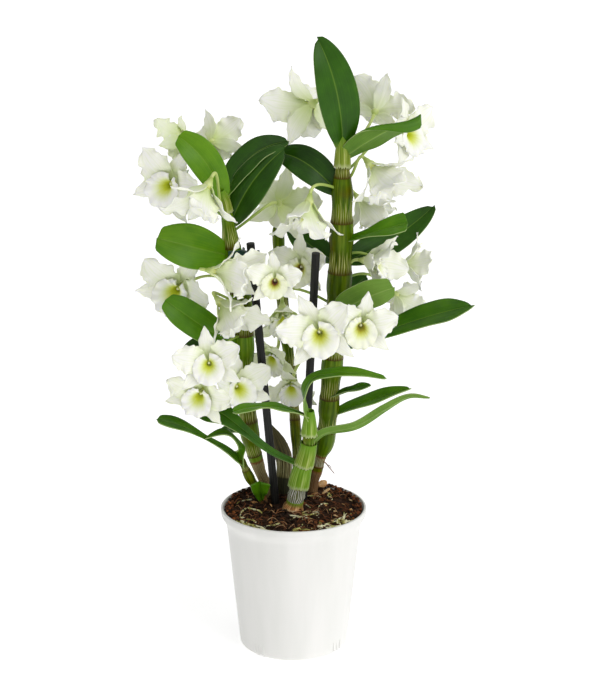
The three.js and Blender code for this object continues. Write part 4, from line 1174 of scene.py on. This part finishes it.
# How wine-brown a throat is, and how green a flower is: partly its own tint and partly painted
# shade on the shaded flowers. Below 0 the tint is taken away to paint light on the brightly lit ones.
BROWN_THROATS = {"bloom_17": 1.0, "bloom_18": 0.8, "bloom_16": 0.55, "bloom_15": 0.2}
GREEN_TINT_AND_PAINTED_LIGHT = {
    "bloom_03": 0.6, "bloom_05": 0.3, "bloom_19": 0.5, "bloom_25": 0.4, "bloom_26": 0.6, "bloom_27": 0.2,
    "bloom_08": -0.5, "bloom_09": -0.3, "bloom_10": -0.6, "bloom_11": -0.5, "bloom_12": -0.5,
    "bloom_13": -0.6, "bloom_14": -0.5, "bloom_20": -0.3,
}


def flower_turn(flower):
    """The rotation from a flower's own frame, where it faces +Z, to the plant's."""
    front = Vector(flower["face"]).normalized()
    right = Vector((0, 0, 1)).cross(front).normalized()
    frame_turn = Matrix((right, front.cross(right), front)).transposed()
    return frame_turn @ Matrix.Rotation(math.radians(flower["roll"]), 3, "Z")


def arc(length, start, end, lean):
    """How far out and forward an arc has run that leans start to end, in radians, at a lean."""
    out = length * (math.cos(start) - math.cos(lean)) / (end - start)
    forward = length * (math.sin(lean) - math.sin(start)) / (end - start)
    return out, forward


def tepal_place(form, turn, opened, to_plant, chance):
    """A place function for a sepal or petal that leaves the flower's axis at a turn round it."""
    start = math.radians(form["opening"] * opened + chance.uniform(-3, 3))
    end = math.radians(form["recurve"] * opened + chance.uniform(-7, 7))
    direction = math.radians(turn + chance.uniform(-4, 4))
    twist = chance.uniform(-0.2, 0.2)
    sway = form["sway"] * chance.uniform(-1, 1) * form["length"]
    phases = chance.uniform(0, 6.28), chance.uniform(0, 6.28)
    seed = Vector((chance.uniform(0, 50), chance.uniform(0, 50), 0))

    def place(u, v):
        across = 2 * u - 1
        lean = start + (end - start) * v
        out, forward = arc(form["length"], start, end, lean)
        half = 0.5 * form["width"] * outline(v, **form["shape"])
        drift = noise.noise(seed + Vector((3.2 * v, 4.0 * (across > 0), 0)))
        fine = noise.noise(seed + Vector((15 * v, 7.0 * (across > 0), 5)))
        wave = math.sin(2 * math.pi * form["waves"] * v + phases[across > 0] + 3 * drift)
        margin = abs(across) ** 2.4 * min(1.0, 2.2 * v)
        ruffle = form["ruffle"] * margin * (wave + 0.7 * drift + 0.4 * fine)
        channel = -FLOWER["channel"] * math.exp(-(across / 0.14) ** 2) * (1 - v)
        rise = half * (form["cup"] * across ** 2 + twist * across * v) + ruffle + channel
        reach = FLOWER["throat"] + out - rise * math.cos(lean)
        notch = 0.07 * math.cos(4 * math.pi * form["waves"] * v + phases[across < 0]) + 0.05 * fine
        sideways = across * half * (1 + notch * margin) + sway * v * v
        return to_plant(Vector((
            reach * math.cos(direction) - sideways * math.sin(direction),
            reach * math.sin(direction) + sideways * math.cos(direction),
            form["seat"] + forward + rise * math.sin(lean),
        )))

    return place


def lip_place(opened, to_plant, chance):
    """A place function for the lip, rolled round the flower's axis and frilled at its mouth."""
    start = math.radians(LIP["opening"])
    end = math.radians(LIP["recurve"] + chance.uniform(-6, 8)) * (LIP["shut"] + (1 - LIP["shut"]) * opened)
    nod = Matrix.Rotation(math.radians(LIP["nod"] + chance.uniform(-4, 4)), 3, "X")
    seed = Vector((chance.uniform(0, 50), chance.uniform(0, 50), 9))

    def place(u, v):
        around = math.radians(LIP["wrap"]) * (2 * u - 1)
        lean = start + (end - start) * v
        notch = 0.05 * max(0.0, noise.noise(seed + Vector((14 * u, 0, 7)))) * v
        length = LIP["length"] * (1 - LIP["chin"] * (1 - math.cos(around)) - notch)
        out, forward = arc(length, start, end, lean)
        drift = noise.noise(seed + Vector((6 * u, 0, 0)))
        wave = math.sin(2 * math.pi * (LIP["waves"] * u + 0.7 * drift))
        fine = noise.noise(seed + Vector((26 * u, 0.8 * v, 3)))
        frill = LIP["frill"] * v ** 5 * (0.55 * wave * (0.7 + 0.9 * drift) + 0.6 * drift)
        rise = frill + 0.5 * v ** 3 * fine
        out = FLOWER["throat"] + out - rise * math.cos(lean)
        forward = LIP["seat"] + forward + rise * math.sin(lean)
        return to_plant(nod @ Vector((out * math.sin(around), -out * math.cos(around), forward)))

    return place


def petal_material(name, green_to):
    """A petal skin: white, and green from its root to this share of its length, with faint veins
    that fan from root to margin."""
    material, tree, shader = new_material(name)
    uv = add_node(tree, "ShaderNodeUVMap", uv_map="UVMap")
    along = add_node(tree, "ShaderNodeSeparateXYZ", {"Vector": uv}).outputs["Y"]
    green = add_node(tree, "ShaderNodeAttribute", attribute_name="green").outputs["Fac"]
    spot = add_node(tree, "ShaderNodeTexCoord").outputs["Object"]
    vein = drawn_noise(tree, uv, (20.0, 1.6, 1.0), 2.0)
    cloud = add_node(tree, "ShaderNodeTexNoise", {"Vector": spot, "Scale": 60.0, "Detail": 3.0})
    white = add_node(tree, "ShaderNodeValToRGB", {"Fac": vein}, [(0.3, "#F0F4DE"), (0.6, "#FBFBF3")])
    root = add_node(tree, "ShaderNodeMath", {0: cloud, 1: -0.2, 2: along}, operation="MULTIPLY_ADD")
    root = add_node(tree, "ShaderNodeMapRange", {"Value": root, "From Min": green_to, "From Max": -0.1})
    # The green value adds a tint that is partly painted shade, and below 0 whitens the petals to paint light.
    root = add_node(tree, "ShaderNodeMath", {0: green, 1: 0.5, 2: root}, operation="MULTIPLY_ADD")
    weight = add_node(tree, "ShaderNodeMath", {0: root, 1: 0.9}, operation="MULTIPLY", use_clamp=True)
    tone = add_node(tree, "ShaderNodeMix", {0: weight, 6: white, 7: linear("#D0DF8C")}, data_type="RGBA")
    relief = add_node(tree, "ShaderNodeBump", {"Height": vein, "Strength": 0.3, "Distance": 0.0005})
    set_inputs(shader, {
        "Base Color": tone, "Roughness": 0.55, "Normal": relief, "Sheen Weight": 0.1,
        "Subsurface Weight": 0.6, "Subsurface Radius": (0.006, 0.006, 0.0045), "Specular IOR Level": 0.22,
    })
    return material


# Petals are thin, waxy and full of air, so light passes a little way into them.
petal_face = petal_material("petal_inner_skin", green_to=0.46)
petal_back = petal_material("petal_outer_skin", green_to=0.56)
lip_back = petal_material("lip_outer_skin", green_to=0.46)

# The lip is downy inside, with a yellow-green throat that is wine-brown in the older flowers.
lip_skin, tree, shader = new_material("downy_lip_skin")
uv = add_node(tree, "ShaderNodeUVMap", uv_map="UVMap")
along = add_node(tree, "ShaderNodeSeparateXYZ", {"Vector": uv}).outputs["Y"]
brown = add_node(tree, "ShaderNodeAttribute", attribute_name="brown").outputs["Fac"]
spot = add_node(tree, "ShaderNodeTexCoord").outputs["Object"]
down = add_node(tree, "ShaderNodeTexNoise", {"Vector": spot, "Scale": 900.0, "Detail": 2.0})
vein = drawn_noise(tree, uv, (30.0, 1.2, 1.0), 2.0)
depth = add_node(tree, "ShaderNodeMath", {0: vein, 1: 0.18, 2: along}, operation="MULTIPLY_ADD")
throat = add_node(tree, "ShaderNodeValToRGB", {"Fac": depth}, [
    (0.2, "#C2CC24"), (0.38, "#D2DA40"), (0.54, "#DFE68A"), (0.72, "#F0F4D8"), (0.88, "#F8F8F0"),
])
wine = add_node(tree, "ShaderNodeValToRGB", {"Fac": depth}, [
    (0.2, "#541E0C"), (0.36, "#804A1C"), (0.44, "#A8A22C"), (0.58, "#D9DE84"), (0.76, "#F2F5DA"),
])
tone = add_node(tree, "ShaderNodeMix", {0: brown, 6: throat, 7: wine}, data_type="RGBA")
relief = add_node(tree, "ShaderNodeBump", {"Height": down, "Strength": 0.3, "Distance": 0.0004})
set_inputs(shader, {
    "Base Color": tone, "Roughness": 0.7, "Normal": relief, "Sheen Weight": 0.2,
    "Subsurface Weight": 0.4, "Subsurface Radius": (0.004, 0.004, 0.002), "Specular IOR Level": 0.2,
})

# The column is firm and glossy, cream above and green where it joins the stalk.
column_skin, tree, shader = new_material("glossy_column_skin")
uv = add_node(tree, "ShaderNodeUVMap", uv_map="UVMap")
along = add_node(tree, "ShaderNodeSeparateXYZ", {"Vector": uv}).outputs["Y"]
tone = add_node(tree, "ShaderNodeValToRGB", {"Fac": along}, [
    (0.1, "#A9BE5C"), (0.45, "#D6E09A"), (0.7, "#E6E88E"), (0.95, "#F2F2CC"),
])
set_inputs(shader, {
    "Base Color": tone, "Roughness": 0.35, "Subsurface Weight": 0.5,
    "Subsurface Radius": (0.003, 0.003, 0.002),
})

flower_chance = random.Random(27)
columns = new_sheet_bmesh()
for name, flower in FLOWERS.items():
    turn, at, size, opened = flower_turn(flower), Vector(flower["at"]), flower["size"], flower["open"]
    ahead = opened + FLOWER["sepals_ahead"] * (1 - opened)

    def to_plant(point, turn=turn, at=at, size=size):
        """A point of the flower's own frame in the plant's."""
        return at + turn @ point * size

    def column_girth(angle, v, size=size):
        """Radius of the column in millimetres at a share of the way along it."""
        depth = COLUMN[0][0] + v * (COLUMN[-1][0] - COLUMN[0][0])
        return size * between(COLUMN, depth, smooth_step)

    values = {"green": GREEN_TINT_AND_PAINTED_LIGHT.get(name, 0.0), "brown": BROWN_THROATS.get(name, 0.0)}
    bm = new_sheet_bmesh("green", "brown")
    for form, spread in ((SEPAL, ahead), (PETAL, opened)):
        for around in form["turns"]:
            add_sheet(bm, form["grid"], tepal_place(form, around, spread, to_plant, flower_chance), values)
    petal_faces = len(bm.faces)
    add_sheet(bm, LIP["grid"], lip_place(opened, to_plant, flower_chance), values)
    bm.faces.ensure_lookup_table()
    for face in bm.faces[petal_faces:]:
        face.material_index = 2
    skins = [petal_back, petal_face, lip_back, lip_skin]
    petals = new_piece(name + "_petals", bm, skins, "petal", name)
    give_thickness(petals, FLOWER["thick"], inner=1)
    axis = smooth_line([to_plant(Vector((0, 0, depth))) for depth in (COLUMN[0][0], COLUMN[-1][0])])
    add_sheet(columns, (14, 22), round_place(axis, column_girth))
weld(columns)
new_piece("flower_columns", columns, [column_skin], "petal", *FLOWERS)

# Flower stalks are smooth, green and a little fleshy, and pale where they meet the flower.
stalk_skin, tree, shader = new_material("fleshy_stalk_skin")
uv = add_node(tree, "ShaderNodeUVMap", uv_map="UVMap")
along = add_node(tree, "ShaderNodeSeparateXYZ", {"Vector": uv}).outputs["Y"]
spot = add_node(tree, "ShaderNodeTexCoord").outputs["Object"]
fleck = add_node(tree, "ShaderNodeTexNoise", {"Vector": spot, "Scale": 220.0, "Detail": 3.0})
pale = add_node(tree, "ShaderNodeMath", {0: fleck, 1: 0.3, 2: along}, operation="MULTIPLY_ADD")
tone = add_node(tree, "ShaderNodeValToRGB", {"Fac": pale}, [
    (0.1, "#6E8E2E"), (0.5, "#9DB54E"), (1.0, "#C4D27E"),
])
set_inputs(shader, {
    "Base Color": tone, "Roughness": 0.42, "Subsurface Weight": 0.1,
    "Subsurface Radius": (0.002, 0.002, 0.001),
})


def stalk_line(flower):
    """The stalk's middle: it leaves the cane outwards and comes to the flower along its axis."""
    cane, height = flower["on"]
    start = cane_lines[cane](at_height(cane_lines[cane], height))
    front = Vector(flower["face"]).normalized()
    end = Vector(flower["at"]) - front * (FLOWER["back"] * flower["size"] - STALK["sunk"])
    reach = (end - start).length
    outwards = end - start
    outwards.z = 0
    outwards.normalize()
    outwards.z = STALK["rise"]
    first, second = start + outwards * 0.45 * reach, end - front * 0.4 * reach

    def at(t):
        s = 1 - t
        return start * s ** 3 + first * 3 * s * s * t + second * 3 * s * t * t + end * t ** 3

    return at


def stalk_radius(angle, v):
    """A round stalk that flares where it meets the flower."""
    return STALK["radius"] + STALK["flare"] * v ** 4


for cane in ("cane_tall", "cane_left", "cane_middle"):
    bm = new_sheet_bmesh()
    for flower in FLOWERS.values():
        if flower["on"][0] == cane:
            add_sheet(bm, STALK["grid"], round_place(stalk_line(flower), stalk_radius))
    weld(bm)
    new_piece(cane + "_flower_stalks", bm, [stalk_skin], "foliage", cane)

# ------------------------------------------------------------------ clip
# A small butterfly clip moulded in dark green plastic. It grips the left stake, and its open
# jaw holds the cane behind.

# Moulded plastic is smooth and half glossy, with a faint mottle.
dark_plastic, tree, shader = new_material("dark_green_moulded_plastic")
spot = add_node(tree, "ShaderNodeTexCoord").outputs["Object"]
cloud = add_node(tree, "ShaderNodeTexNoise", {"Vector": spot, "Scale": 500.0, "Detail": 3.0})
tone = add_node(tree, "ShaderNodeValToRGB", {"Fac": cloud}, [(0.35, "#16302A"), (0.65, "#234A40")])
relief = add_node(tree, "ShaderNodeBump", {"Height": cloud, "Strength": 0.15, "Distance": 0.0003})
set_inputs(shader, {"Base Color": tone, "Roughness": 0.4, "Normal": relief})
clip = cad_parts["cane_clip"]
clip.data.materials.clear()
clip.data.materials.append(dark_plastic)

# ------------------------------------------------------------------ sizes
# The box of the scene, once it has dressed the solids.

low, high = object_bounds()
